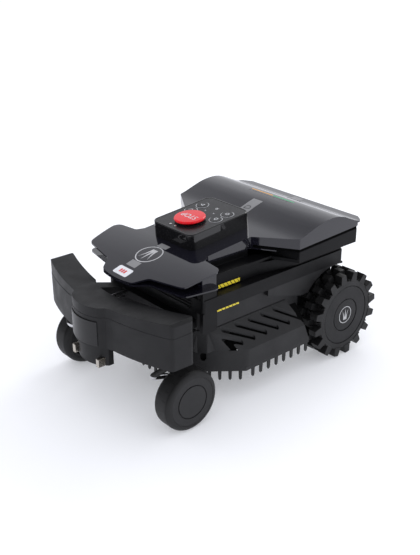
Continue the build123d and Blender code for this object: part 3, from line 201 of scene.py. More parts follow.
def as_made(piece):
    """The plain mesh that an object's modifiers or curves give."""
    return bpy.data.meshes.new_from_object(piece.evaluated_get(bpy.context.evaluated_depsgraph_get()))


def fixed_to(piece, node, material):
    """The piece is baked to a plain mesh, rides on the node's body and takes its finish slot."""
    if piece.modifiers:
        solid = as_made(piece)
        solid.name = piece.name
        piece.modifiers.clear()
        piece.data = solid
    piece.data.materials.clear()
    piece.data.materials.append(material)
    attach(piece, frame["nodes"][node]["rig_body"])
    return piece


def stand_in(piece, node, material):
    """The finished piece takes the place of the CAD node, with its finish slot and its body."""
    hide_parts(node)
    return fixed_to(piece, node, material)


def finished(node, name, edge, material, **softening):
    """A softened copy of the CAD node takes its place."""
    return stand_in(softened(node, name, edge, **softening), node, material)


deck_charcoal = grained_plastic(
    "deck_charcoal", (0.005, 0.005, 0.0055), (0.008, 0.008, 0.009), (0.42, 0.56), 0.0011, 0.035, 0.00012)
finished("lower_shell", "deck_moulding", 0.0009, deck_charcoal)

SIDES = (("left", 1), ("right", -1))

# Behind the slots a thin black sheet hangs from the tub on each side, and a black disc closes the hole in each cut
# corner from inside: both are painted shade, dark sheets that stand for the shade inside the deck.
slot_shade_black = grained_plastic(
    "slot_shade_black", (0.0012, 0.0012, 0.0013), (0.002, 0.002, 0.002), (0.70, 0.85), 0.0012, 0.03, 0.00008,
    specular=0.1)
slot_shade_stations = ((0.108, 0.122, 0.156), (-0.058, 0.122, 0.156), (-0.096, 0.112, 0.126))
slot_shade_high, slot_shade_low, slot_shade_thickness = 0.146, 0.1015, 0.002
shade_disc_radius, shade_disc_thickness = 0.0112, 0.0012
shade_disc_middle, shade_disc_turn = Vector((0.11472, -0.11417, 0.092)), 0.6754
for side, sign in SIDES:
    corners = [(sign * x, y, level) for y, high_x, low_x in slot_shade_stations
               for x, level in ((high_x, slot_shade_high), (low_x, slot_shade_low))]
    slot_shade_mesh = bpy.data.meshes.new(f"slot_shade_sheet_{side}")
    slot_shade_mesh.from_pydata(corners, [], [(0, 1, 3, 2)[::sign], (2, 3, 5, 4)[::sign]])
    shade_sheet = new_piece(f"slot_shade_sheet_{side}", slot_shade_mesh)
    sheet = shade_sheet.modifiers.new("sheet", "SOLIDIFY")
    sheet.thickness, sheet.offset = slot_shade_thickness, 0.0
    folds = shade_sheet.modifiers.new("folds", "BEVEL")
    folds.width, folds.segments = 0.0006, 2
    fixed_to(shade_sheet, "lower_shell", slot_shade_black)
    shade_disc = bmesh.new()
    facing = Matrix.Rotation(-sign * shade_disc_turn, 4, "Z") @ Matrix.Rotation(pi / 2, 4, "Y")
    bmesh.ops.create_cone(shade_disc, cap_ends=True, segments=32, radius1=shade_disc_radius, radius2=shade_disc_radius,
                          depth=shade_disc_thickness, matrix=Matrix.Translation(shade_disc_middle * Vector((sign, 1, 1))) @ facing)
    fixed_to(new_piece(f"corner_shade_disc_{side}", mesh_from(shade_disc, f"corner_shade_disc_{side}")), "lower_shell", slot_shade_black)


# ------------------------------ grass combs
# A comb of tapered tines hangs under the skirt along both sides, the cut corners and the nose.
# The tines lift the grass and keep fingers away from the blade; they are moulded in tougher nylon.
comb_nylon = grained_plastic(
    "comb_nylon", (0.005, 0.005, 0.0055), (0.008, 0.008, 0.009), (0.38, 0.50), 0.0009, 0.02, 0.00008)
comb_top, comb_foot, comb_tip, tine_root = 0.067, 0.060, 0.041, 0.002
corner_back, corner_front = -0.0544, 0.0754
side_first_tine, corner_first_tine = 0.0065, 0.010
tine_width, tine_thickness, tine_pitch = 0.0066, 0.0034, 0.0204
corner_tine_pitch = 0.019


def growth_tree(name, count, *sizes):
    """A new Geometry Nodes tree, the count and sizes given to it, and its way out."""
    tree = bpy.data.node_groups.new(name, "GeometryNodeTree")
    tree.interface.new_socket("Geometry", in_out="OUTPUT", socket_type="NodeSocketGeometry")
    tree.interface.new_socket(count, in_out="INPUT", socket_type="NodeSocketInt")
    for size in sizes:
        tree.interface.new_socket(size, in_out="INPUT", socket_type="NodeSocketFloat")
    return tree, tree.nodes.new("NodeGroupInput").outputs, tree.nodes.new("NodeGroupOutput").inputs["Geometry"]


def xyz(tree, **parts):
    """A vector from its X, Y and Z."""
    return place_node(tree, "ShaderNodeCombineXYZ", parts).outputs[0]


def split(tree, place):
    """The X, Y and Z of a vector."""
    return place_node(tree, "ShaderNodeSeparateXYZ", {0: place}).outputs


def point_row(tree, count, **step):
    """Points in a row, each a step from the last."""
    return place_node(tree, "GeometryNodeMeshLine", {"Count": count, "Offset": xyz(tree, **step)}).outputs["Mesh"]


def repeated(tree, points, pattern, material, way_out, **placing):
    """A copy of the pattern at each point, made real, given its material and sent out of the tree."""
    copies = place_node(tree, "GeometryNodeInstanceOnPoints", {"Points": points, "Instance": pattern, **placing})
    real = place_node(tree, "GeometryNodeRealizeInstances", {"Geometry": copies.outputs["Instances"]})
    finish = place_node(tree, "GeometryNodeSetMaterial", {"Geometry": real.outputs["Geometry"], "Material": material})
    tree.links.new(finish.outputs["Geometry"], way_out)


def tine_row_tree():
    """A row of tapered tines with rounded tips, hanging from a straight line along X."""
    tree, given, way_out = growth_tree("tine_row", "Tines", "Pitch", "Width", "Thickness", "Length", "Tip Share")
    block = place_node(tree, "GeometryNodeMeshCube", {
        "Size": xyz(tree, X=given["Width"], Y=given["Thickness"], Z=given["Length"]), "Vertices X": 3,
        "Vertices Y": 3, "Vertices Z": 9})
    spot = split(tree, place_node(tree, "GeometryNodeInputPosition").outputs[0])
    down = maths(tree, "SUBTRACT", 0.5, maths(tree, "DIVIDE", spot["Z"], given["Length"]))
    narrow = ranged(tree, down, 1.0, given["Tip Share"])
    tip_start, tip_fullness = 0.80, 1.08
    squared = maths(tree, "POWER", ranged(tree, down, 0.0, 1.0, tip_start, 1.0), 2.0)
    rounded = maths(tree, "SQRT", maths(tree, "SUBTRACT", tip_fullness, squared))
    spread = maths(tree, "MULTIPLY", narrow, rounded)
    moved = xyz(tree, X=maths(tree, "MULTIPLY", spot["X"], spread), Y=maths(tree, "MULTIPLY", spot["Y"], spread),
                  Z=spot["Z"])
    tine = place_node(tree, "GeometryNodeSetPosition", {"Geometry": block.outputs["Mesh"], "Position": moved})
    repeated(tree, point_row(tree, given["Tines"], X=given["Pitch"]), tine.outputs["Geometry"], comb_nylon, way_out)
    return tree


def grown(tree, sizes):
    """What a tree makes with the given sizes, as a plain mesh."""
    holder = new_piece(tree.name, bpy.data.meshes.new(tree.name))
    growth = holder.modifiers.new("growth", "NODES")
    growth.node_group = tree
    for socket in tree.interface.items_tree:
        if socket.in_out == "INPUT":
            growth[socket.identifier] = sizes[socket.name]
    mesh = as_made(holder)
    bpy.data.objects.remove(holder)
    return mesh


def joined(name, meshes, sharp=35.0):
    """Several placed meshes made into one object, with its corners kept crisp."""
    shape = bmesh.new()
    for mesh, placing in meshes:
        mesh.transform(placing)
        shape.from_mesh(mesh)
    whole = mesh_from(shape, name)
    whole.shade_smooth()
    whole.set_sharp_from_angle(angle=radians(sharp))
    return new_piece(name, whole)


def skinned(name, sections):
    """A closed mesh skinned over a row of four-cornered sections."""
    shape = bmesh.new()
    stations = [[shape.verts.new(corner) for corner in section] for section in sections]
    for near, far in zip(stations, stations[1:]):
        for corner in range(4):
            shape.faces.new((near[corner], near[(corner + 1) % 4], far[(corner + 1) % 4], far[corner]))
    shape.faces.new(stations[0][::-1])
    shape.faces.new(stations[-1])
    bmesh.ops.recalc_face_normals(shape, faces=shape.faces)
    return mesh_from(shape, name)


def wall_along(points, low, high, thickness):
    """A thin upright wall along a line in plan, with mitred corners and closed ends."""
    sections = []
    for number, spot in enumerate(points):
        before = (spot - points[max(number - 1, 0)]).normalized()
        after = (points[min(number + 1, len(points) - 1)] - spot).normalized()
        along = (before + after).normalized()
        outward = Vector((along.y, -along.x)) * thickness / 2 / max(along.dot(after if number == 0 else before), 0.3)
        sections.append([(*(spot + outward * way), level)
                         for way, level in ((1, low), (1, high), (-1, high), (-1, low))])
    return skinned("wall", sections)


tine_row = tine_row_tree()
tine_sizes = {"Pitch": tine_pitch, "Width": tine_width, "Thickness": tine_thickness,
              "Length": comb_foot - comb_tip + tine_root, "Tip Share": 0.80}
tine_level = (comb_foot + tine_root + comb_tip) / 2
side_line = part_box("comb_left")[1][0] - tine_thickness / 2
rear_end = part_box("comb_left")[1][1]
nose_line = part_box("comb_front")[0][1] + tine_thickness / 2
bend = Vector((side_line, corner_back))
turn_in = Vector((corner_front, nose_line))
slant = (turn_in - bend).normalized()
for side, sign in SIDES:
    mirror = Matrix.Diagonal((sign, 1, 1, 1))
    straight = grown(tine_row, {**tine_sizes, "Tines": 8})
    along_side = (Matrix.Translation((side_line, rear_end - side_first_tine, tine_level))
                  @ Matrix.Rotation(-pi / 2, 4, "Z"))
    cut_corner = grown(tine_row, {**tine_sizes, "Tines": 7, "Pitch": corner_tine_pitch})
    first = bend + slant * corner_first_tine
    heading = Vector((1, 0)).angle_signed(slant)
    along_corner = Matrix.Translation((*first, tine_level)) @ Matrix.Rotation(-heading, 4, "Z")
    strip = wall_along([Vector((side_line, rear_end)), bend, turn_in], comb_foot, comb_top, tine_thickness)
    comb = joined(f"tine_comb_{side}", [(straight, mirror @ along_side), (cut_corner, mirror @ along_corner),
                                        (strip, mirror)])
    if sign < 0:
        comb.data.flip_normals()
    stand_in(comb, f"comb_{side}", comb_nylon)
front_row = grown(tine_row, {**tine_sizes, "Tines": 7, "Pitch": corner_tine_pitch})
front_strip = wall_along([Vector((end[0], nose_line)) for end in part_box("comb_front")], comb_foot, comb_top,
                         tine_thickness)
stand_in(joined("tine_comb_front", [(front_row, Matrix.Translation((-3 * corner_tine_pitch, nose_line, tine_level))),
                                    (front_strip, Matrix.Identity(4))]), "comb_front", comb_nylon)


# ------------------------------ cutting unit
# Two ground steel columns carry the moulded carriage; the motor bolts to it, and its hub holds
# the pressed-steel star blade by one nut.
def worked_metal(name, colour, rough, grain, stretch=(1, 1, 1), depth=0.00002, stain=(0.5, 0.5, 0.5)):
    """Metal with fine drawn or cast lines, cloudy dulling and a little handling stain."""
    material, tree, shader = new_finish(name)
    place = surface_place(tree)
    drawn = place_node(tree, "ShaderNodeMapping", {"Vector": place, "Scale": stretch}).outputs["Vector"]
    lines = noise(tree, drawn, 1 / grain, 5.0)
    clouds = ranged(tree, noise(tree, place, 45.0, 3.0), 0.0, 1.0, 0.45, 0.75)
    stained = (*(shade * part for shade, part in zip(colour, stain)), 1)
    fill(tree, shader, {
        "Base Color": blended(tree, clouds, (*colour, 1), stained), "Metallic": 1.0,
        "Roughness": ranged(tree, lines, *rough, 0.3, 0.7), "Normal": bumped(tree, lines, depth)})
    return material


ground_steel = worked_metal(
    "ground_steel", (0.46, 0.46, 0.47), (0.22, 0.36), 0.0012, (1, 1, 0.1), stain=(0.7, 0.68, 0.66))
# The blade steel is real, but its dark grey is painted shade for the dim chamber seen through the slots.
blade_steel_shade_dark = worked_metal(
    "blade_steel_painted_dark", (0.075, 0.078, 0.085), (0.38, 0.55), 0.0016, (1, 0.2, 1), 0.00004, (0.7, 0.62, 0.55))
cast_metal = worked_metal(
    "cast_motor_metal", (0.30, 0.31, 0.32), (0.42, 0.60), 0.0009, depth=0.00006, stain=(0.75, 0.74, 0.72))
works_charcoal = grained_plastic(
    "works_charcoal", (0.010, 0.010, 0.011), (0.017, 0.017, 0.018), (0.45, 0.60), 0.0010, 0.025, 0.00010)
finished("carriage_guides", "guide_columns", 0.0006, ground_steel)
finished("height_carriage", "height_carriage_moulding", 0.0008, works_charcoal)
finished("blade_motor", "blade_motor_can", 0.0010, cast_metal)
finished("blade_hub", "blade_hub_turning", 0.0006, ground_steel)
finished("star_blade", "star_blade_pressing", 0.0003, blade_steel_shade_dark)
finished("blade_nut", "blade_nut_turning", 0.0006, ground_steel)

# ------------------------------ wheel drives
# Each rear wheel has a gear motor with a cast case, held in the tail of the deck. A ground steel
# shaft runs through its nose and carries the wheel.
for side, _ in SIDES:
    finished(f"gearmotor_{side}", f"gearmotor_can_{side}", 0.0008, cast_metal)
    finished(f"drive_shaft_{side}", f"drive_shaft_bar_{side}", 0.0005, ground_steel)


# ------------------------------ body band
# A matte moulding wraps the machine's waist like a channel, with a post at each front corner
# that stands on the deck and a block above it that carries the cover. Ribs stiffen its front.
body_charcoal = grained_plastic(
    "body_charcoal", (0.0025, 0.0025, 0.0030), (0.0045, 0.0045, 0.0052), (0.38, 0.52), 0.0010, 0.030, 0.00010,
    specular=0.24)
band_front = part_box("body_frame")[0][1]
band_low, first_rib = 0.190, 0.0045
finished("body_frame", "waist_band", 0.0010, body_charcoal)


def rib_stack_tree():
    """Half-round ribs along X, one above the other, on an upright face."""
    tree, given, way_out = growth_tree("rib_stack", "Ribs", "Pitch", "Half Length", "Radius")
    far_end = maths(tree, "MULTIPLY", given["Half Length"], -1.0)
    line = place_node(tree, "GeometryNodeCurvePrimitiveLine", {"Start": xyz(tree, X=far_end),
                      "End": xyz(tree, X=given["Half Length"])})
    round_bar = place_node(tree, "GeometryNodeCurvePrimitiveCircle", {"Resolution": 12, "Radius": given["Radius"]})
    rib = place_node(tree, "GeometryNodeCurveToMesh", {"Curve": line.outputs[0], "Profile Curve": round_bar.outputs[0],
                     "Fill Caps": True})
    repeated(tree, point_row(tree, given["Ribs"], Z=given["Pitch"]), rib.outputs["Mesh"], body_charcoal, way_out)
    return tree


front_ribs = grown(rib_stack_tree(), {"Ribs": 4, "Pitch": 0.0058, "Half Length": 0.108, "Radius": 0.0015})
fixed_to(joined("band_front_ribs", [(front_ribs, Matrix.Translation((0, band_front, band_low + first_rib)))]),
         "body_frame", body_charcoal)


# ------------------------------ marker strips
# Thin yellow marker strips sit in the casing and in the deck wall. They are printed foil, bare
# but for a run of slanting dark ticks.
def marker_foil(name, ticks_per_metre, tick_share, slant):
    """Yellow foil: printed slanting ticks, a slight mottle and a fine emboss."""
    material, tree, shader = new_finish(name)
    place = surface_place(tree)
    spot = split(tree, place)
    lean = maths(tree, "MULTIPLY_ADD", spot["Z"], slant, spot["Y"])
    tick = maths(tree, "LESS_THAN", maths(tree, "FRACT", maths(tree, "MULTIPLY", lean, ticks_per_metre)), tick_share)
    wear = noise(tree, place, 260.0, 3.0)
    printed = maths(tree, "MULTIPLY", tick, maths(tree, "GREATER_THAN", wear, 0.38))
    yellow = blended(tree, wear, (0.78, 0.60, 0.02, 1), (0.92, 0.76, 0.05, 1))
    fill(tree, shader, {
        "Base Color": blended(tree, printed, yellow, (0.05, 0.045, 0.01, 1)),
        "Roughness": ranged(tree, wear, 0.30, 0.48), "Normal": bumped(tree, wear, 0.00003)})
    return material


strip_foil = marker_foil("marker_foil", 118.0, 0.20, 0.7)
for level in ("upper", "lower"):
    finished(f"marker_strips_{level}", f"marker_foils_{level}", 0.0002, strip_foil)


# ------------------------------ upper casing
# The casing between the band and the cover is moulded in the same plastic, a touch smoother.
# A cross tray in it carries the socket that the power unit plugs into.
casing_charcoal = grained_plastic(
    "casing_charcoal", (0.0022, 0.0022, 0.0026), (0.0035, 0.0035, 0.0042), (0.30, 0.44), 0.0009, 0.030, 0.00006,
    specular=0.16)
finished("upper_casing", "upper_casing_moulding", 0.0012, casing_charcoal)
finished("dock_socket", "dock_socket_tray", 0.0006, works_charcoal)


# ------------------------------ gloss cover
# The cover is an injection-moulded, high-gloss skin. Its long soft ripples are what such a
# skin shows under a studio light, and its rims are rounded where they were buffed.
def gloss_plastic(name, colour, rough, ripple, coat=0.6):
    """Piano-black plastic: a hard gloss with slow moulding ripples and a trace of fine dust."""
    material, tree, shader = new_finish(name)
    place = surface_place(tree)
    ripples = noise(tree, place, 14.0, 2.0)
    dust = ranged(tree, noise(tree, place, 900.0, 1.0), 0.0, 1.0, 0.70, 0.80)
    fill(tree, shader, {
        "Base Color": blended(tree, dust, (*colour, 1), (0.06, 0.06, 0.06, 1)),
        "Roughness": ranged(tree, ripples, *rough, 0.3, 0.7), "Normal": bumped(tree, ripples, ripple),
        "Coat Weight": coat, "Coat Roughness": 0.03})
    return material


cover_gloss = gloss_plastic("cover_gloss", (0.0075, 0.0073, 0.0120), (0.04, 0.07), 0.00009)
cover_skin = finished("top_cover", "gloss_cover_skin", 0.0013, cover_gloss, steps=3)

# A black strip lies in the groove between the cover and the casing, along both rear lobes: painted shade that darkens
# the groove.
groove_shade_black = grained_plastic(
    "groove_shade_black", (0.0010, 0.0010, 0.0010), (0.0018, 0.0018, 0.0018), (0.80, 0.95), 0.0006, 0.02, 0.00010,
    specular=0.05)
groove_shade_route = ((0.0970, 0.0240, 0.2622), (0.1693, 0.0708, 0.2622), (0.1693, 0.2310, 0.2690))
groove_shade_height, groove_shade_depth = 0.0052, 0.0012
groove_shade_section = ((0, 0), (0, groove_shade_height), (groove_shade_depth, groove_shade_height), (groove_shade_depth, 0))
for side, sign in SIDES:
    groove_shade_mesh = skinned(f"lobe_groove_shade_{side}", [[(sign * (x - inward), y, z + rise) for inward, rise in groove_shade_section]
                                              for x, y, z in groove_shade_route])
    fixed_to(new_piece(f"lobe_groove_shade_{side}", groove_shade_mesh), "top_cover", groove_shade_black)


# ------------------------------ cover markings
# Screen-printed films on the cover: a grey centre stripe in four lengths, a label with three bars
# on the nose, a ring with grass blades, and an orange and green charge scale with ticks.
def stroke(shape, points, width, closed=False):
    """Adds a flat line of even width along points, with mitred corners."""
    count = len(points)
    pairs = []
    for number, point in enumerate(points):
        before = points[number - 1] if closed or number else None
        after = points[(number + 1) % count] if closed or number < count - 1 else None
        start = (point - before).normalized() if before is not None else (after - point).normalized()
        finish = (after - point).normalized() if after is not None else start
        along = (start + finish).normalized()
        aside = Vector((-along.y, along.x)) * width / 2 / max(along.dot(start), 0.35)
        pairs.append([shape.verts.new((*(point + aside), 0)), shape.verts.new((*(point - aside), 0))])
    for number in range(count if closed else count - 1):
        near, far = pairs[number], pairs[(number + 1) % count]
        shape.faces.new((near[1], far[1], far[0], near[0]))


def patch(shape, points):
    """Adds a flat filled outline."""
    shape.faces.new([shape.verts.new((*point, 0)) for point in points])


def ring(radius, steps=40, start=0.0, sweep=2 * pi):
    """Points round a circle, or along an arc of it."""
    spread = steps if sweep == 2 * pi else steps - 1
    return [Vector((radius * cos(start + sweep * step / spread), radius * sin(start + sweep * step / spread)))
            for step in range(steps)]


def grass_badge(shape, size):
    """A ring with three blades of grass, as wide and as high as the size given."""
    stroke(shape, ring(0.48 * size), 0.04 * size, closed=True)
    for foot, tip, belly in ((-0.08, -0.24, 0.05), (0.0, 0.03, 0.065), (0.08, 0.26, 0.05)):
        height = 0.30 if tip != 0.03 else 0.38
        left = [(foot - belly + (tip - foot) * share ** 1.6 + belly * share, -0.30 + (height + 0.30) * share)
                for share in (0, 0.25, 0.5, 0.75)]
        right = [(foot + belly + (tip - foot) * share ** 1.6 - belly * share, -0.30 + (height + 0.30) * share)
                 for share in (0.75, 0.5, 0.25, 0)]
        patch(shape, [Vector(spot) * size for spot in left + [(tip, height)] + right])


def film(name, shape, seat, thickness, slice_step=0.004):
    """Flat artwork sliced finely, laid on a surface by its seat, and given its thickness."""
    low = min(vert.co.y for vert in shape.verts)
    high = max(vert.co.y for vert in shape.verts)
    level = low + slice_step
    while level < high:
        bmesh.ops.bisect_plane(shape, geom=shape.verts[:] + shape.edges[:] + shape.faces[:], plane_co=(0, level, 0),
                               plane_no=(0, 1, 0))
        level += slice_step
    bmesh.ops.recalc_face_normals(shape, faces=shape.faces)
    for face in shape.faces:
        if face.normal.z < 0:
            face.normal_flip()
    for vert in shape.verts:
        vert.co = seat(vert.co.x, vert.co.y)
    piece = new_piece(name, mesh_from(shape, name))
    body = piece.modifiers.new("film_thickness", "SOLIDIFY")
    body.thickness, body.offset = thickness, -1.0
    return piece


def printed_ink(name, colour):
    """Screen-printed ink: a dense colour with a faint mottle and a slight orange peel."""
    material, tree, shader = new_finish(name)
    place = surface_place(tree)
    mottle = noise(tree, place, 90.0, 3.0)
    thin, dense = ((*(min(1.0, strength * part) for part in colour), 1) for strength in (0.86, 1.12))
    fill(tree, shader, {
        "Base Color": blended(tree, mottle, thin, dense), "Roughness": ranged(tree, mottle, 0.25, 0.40),
        "Normal": bumped(tree, noise(tree, place, 1400.0, 2.0), 0.00001)})
    return material


stripe_grey = printed_ink("stripe_grey_ink", (0.23, 0.23, 0.235))
badge_silver = printed_ink("badge_silver_ink", (0.50, 0.50, 0.51))
label_white = printed_ink("label_white_ink", (0.72, 0.73, 0.76))
label_red = printed_ink("label_red_ink", (0.60, 0.02, 0.03))
scale_orange = printed_ink("scale_orange_ink", (0.75, 0.36, 0.05))
scale_green = printed_ink("scale_green_ink", (0.02, 0.42, 0.16))
mark_dark = printed_ink("mark_dark_ink", (0.03, 0.03, 0.035))


def surface_of(piece):
    """A piece's surface, to drop points onto."""
    return BVHTree.FromObject(piece, bpy.context.evaluated_depsgraph_get())


cover_tree = surface_of(cover_skin)


def on_cover(lift):
    """A seat that drops each point straight down onto the cover and lifts it by a film's height."""
    def seat(x, y):
        spot, normal, _, _ = cover_tree.ray_cast(Vector((x, y, 0.5)), Vector((0, 0, -1)))
        return spot + normal * lift
    return seat


def rounded_box(half_x, low_y, high_y, corner):
    """A rounded rectangle as points in plan."""
    points = []
    side_x, low_y, high_y = half_x - corner, low_y + corner, high_y - corner
    for centre_x, centre_y, start in ((side_x, low_y, -pi / 2), (side_x, high_y, 0), (-side_x, high_y, pi / 2),
                                      (-side_x, low_y, pi)):
        points += [Vector((centre_x, centre_y)) + Vector((corner * cos(start + pi / 2 * step / 6),
                   corner * sin(start + pi / 2 * step / 6))) for step in range(7)]
    return points


def cover_film(name, ink, draw, lift=0.00018, thickness=0.0003):
    """Draws artwork, lays it on the cover and prints it."""
    shape = bmesh.new()
    draw(shape)
    return fixed_to(film(name, shape, on_cover(lift), thickness), "top_cover", ink)


stripe_half = 0.0128
for name, low, high in (("nose", -0.1865, -0.1705), ("front", -0.1165, -0.1040), ("rear", 0.058, 0.1300),
                        ("tail", 0.2250, 0.2500)):
    cover_film(f"centre_stripe_{name}", stripe_grey,
               lambda shape, low=low, high=high: patch(shape, rounded_box(stripe_half, low, high, 0.0006)))
cover_film("nose_label", label_white, lambda shape: patch(shape, rounded_box(0.0195, -0.2125, -0.1925, 0.0035)))


def label_bars(shape):
    """Three short plain bars in place of lettering."""
    half_width, low, high = 0.0020, -0.2065, -0.1985
    for middle in (-0.0062, 0.0, 0.0062):
        near, far = middle - half_width, middle + half_width
        patch(shape, [Vector(spot) for spot in ((near, low), (far, low), (far, high), (near, high))])


second_print = 0.00032
cover_film("nose_label_bars", label_red, label_bars, lift=second_print)


def nose_badge(shape):
    """The grass badge on the plate, upright for someone who stands behind the machine."""
    badge = bmesh.new()
    grass_badge(badge, 0.052)
    badge.transform(Matrix.Translation((0, -0.1435, 0)) @ Matrix.Rotation(pi, 4, "Z"))
    shape.from_mesh(mesh_from(badge, "nose_badge_artwork"))


cover_film("nose_badge", badge_silver, nose_badge)
crest_line, tick_line, scale_width = 0.1665, 0.1589, 0.0036
for name, ink, start, stop in (("low", scale_orange, -0.055, 0.004), ("high", scale_green, 0.004, 0.062)):
    cover_film(f"charge_scale_{name}", ink, lambda shape, start=start, stop=stop: stroke(
        shape, [Vector((start, crest_line)), Vector((stop, crest_line))], scale_width))


def scale_tick_tree():
    """Short ticks in a row beside the charge scale, every other one shorter."""
    tree, given, way_out = growth_tree("scale_ticks", "Ticks", "Pitch", "Width", "Length")
    tick = place_node(tree, "GeometryNodeMeshGrid", {"Size X": given["Width"], "Size Y": given["Length"],
                      "Vertices X": 2, "Vertices Y": 3})
    odd = maths(tree, "MODULO", place_node(tree, "GeometryNodeInputIndex").outputs[0], 2.0)
    repeated(tree, point_row(tree, given["Ticks"], X=given["Pitch"]), tick.outputs["Mesh"], mark_dark, way_out,
             Scale=xyz(tree, X=1.0, Y=ranged(tree, odd, 1.0, 0.55), Z=1.0))
    return tree


scale_ticks = grown(scale_tick_tree(), {"Ticks": 14, "Pitch": 0.0085, "Width": 0.0012, "Length": 0.0056})
scale_ticks.transform(Matrix.Translation((-0.053, tick_line, 0)))
cover_film("charge_scale_ticks", mark_dark, lambda shape: shape.from_mesh(scale_ticks))
cover_film("stripe_mark", mark_dark, lambda shape: stroke(
    shape, [Vector((-0.0045, 0.096)), *(Vector((0.0, 0.1)) + spot for spot in ring(0.0062, 14, -0.2, 3.5)),
            Vector((-0.0062, 0.096))], 0.0016, closed=True), lift=second_print)


# ------------------------------ power unit
# The lift-off box is a gloss case with a satin panel let into its top, over a plain base that
# holds the shrink-wrapped battery, the board and the plug.
case_gloss = gloss_plastic("case_gloss", (0.0045, 0.0045, 0.0050), (0.07, 0.13), 0.00006, coat=0.5)
panel_satin = grained_plastic(
    "panel_satin", (0.006, 0.006, 0.007), (0.010, 0.010, 0.011), (0.24, 0.34), 0.0007, 0.02, 0.00003)
battery_wrap = grained_plastic(
    "battery_wrap", (0.010, 0.045, 0.13), (0.02, 0.07, 0.18), (0.25, 0.40), 0.0030, 0.02, 0.00030)
board_green = grained_plastic(
    "board_green", (0.006, 0.05, 0.018), (0.012, 0.085, 0.03), (0.30, 0.45), 0.0016, 0.008, 0.00010)
contact_nickel = worked_metal(
    "contact_nickel", (0.62, 0.58, 0.52), (0.20, 0.34), 0.0010, (1, 1, 0.2), 0.00003, (0.75, 0.70, 0.62))
finished("power_case", "power_unit_case", 0.0009, case_gloss, steps=3)
panel = finished("control_panel", "control_panel_plate", 0.0004, panel_satin)
finished("power_base", "power_unit_base", 0.0010, works_charcoal)
finished("battery_pack", "battery_in_wrap", 0.0020, battery_wrap, steps=3)
finished("control_board", "control_board_plate", 0.0002, board_green)
finished("dock_plug", "dock_plug_blades", 0.0004, contact_nickel)
rain_steel = worked_metal("rain_contact_steel", (0.75, 0.75, 0.74), (0.25, 0.40), 0.0006, stain=(0.85, 0.84, 0.82))
finished("rain_contacts", "rain_contact_studs", 0.0003, rain_steel)

# ------------------------------ keys and stop button
# Four round keys lie in the panel, each ringed in white and marked with a plain sign. The red
# mushroom button is gloss with white moulded lettering.
panel_slope = radians(5.37)
panel_normal = Vector((0, -sin(panel_slope), cos(panel_slope)))


def under(surface, x, y):
    """The point of a surface straight below a place in plan."""
    return surface.ray_cast(Vector((x, y, 0.5)), Vector((0, 0, -1)))[0]


def on_slope(surface, lift):
    """A seat that lays artwork on the sloping top of a part."""
    return lambda x, y: under(surface, x, y) + panel_normal * lift


def flat_seat(centre, lift):
    """A seat on the plane of the panel through a given point."""
    return lambda x, y: Vector((x, y, centre.z + (y - centre.y) * tan(panel_slope))) + panel_normal * lift


legend_white = printed_ink("legend_white_ink", (0.62, 0.63, 0.65))
key_satin = grained_plastic(
    "key_satin", (0.006, 0.006, 0.007), (0.010, 0.010, 0.011), (0.26, 0.36), 0.0007, 0.02, 0.00003)
key_ring_radius, ring_width, sign_width = 0.0124, 0.0010, 0.0011
print_lift, print_sheet = 0.00008, 0.00014
key_rings = bmesh.new()


def placed(points, centre):
    """Points drawn about a key's middle, turned half round to be read from behind the machine."""
    return [Vector((centre.x - spot.x, centre.y - spot.y)) for spot in points]


def spots(*pairs):
    """Millimetre pairs as plan points."""
    return [Vector(pair) / 1000 for pair in pairs]


KEY_SIGNS = {
    "front_left": [(spots((-4, -1), (0, 3.6), (4, -1)), False),
                   (spots((-2.7, 0.2), (-2.7, -4), (2.7, -4), (2.7, 0.2)), False)],
    "front_right": [(spots((-4, 0), (-1, -3.2), (4.2, 3.4)), False)],
    "rear_left": [(spots((0, 4.2), (0, 0.4)), False), (ring(0.0036, 16, pi / 2 + 0.6, 2 * pi - 1.2), False)],
    "rear_right": [(spots((-3.4, -3.4), (-3.4, 3.4), (3.6, 0)), True)],
}
for row in ("front", "rear"):
    for side, _ in SIDES:
        key = finished(f"key_{row}_{side}", f"key_cap_{row}_{side}", 0.0004, key_satin)
        low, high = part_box(f"key_{row}_{side}")
        middle = Vector(((low[0] + high[0]) / 2, (low[1] + high[1]) / 2, 0))
        hit = under(surface_of(key), middle.x, middle.y)
        sign_shape = bmesh.new()
        for line, looped in KEY_SIGNS[f"{row}_{side}"]:
            stroke(sign_shape, placed(line, middle), sign_width, closed=looped)
        fixed_to(film(f"key_sign_{row}_{side}", sign_shape, flat_seat(hit, print_lift), print_sheet),
                 f"key_{row}_{side}", legend_white)
        stroke(key_rings, placed(ring(key_ring_radius, 44), middle), ring_width, closed=True)
for line in (spots((-3, 0), (0, 3), (3, 0)), spots((-3, -3), (0, 0), (3, -3))):
    stroke(key_rings, placed(line, Vector((0, 0.020))), ring_width)
for spread in (-0.012, 0.012):
    stroke(key_rings, placed(ring(0.0012, 10), Vector((spread, 0.001))), 0.0007, closed=True)
fixed_to(film("key_ring_print", key_rings, flat_seat(under(surface_of(panel), 0.0, 0.035), print_lift), print_sheet),
         "control_panel", legend_white)

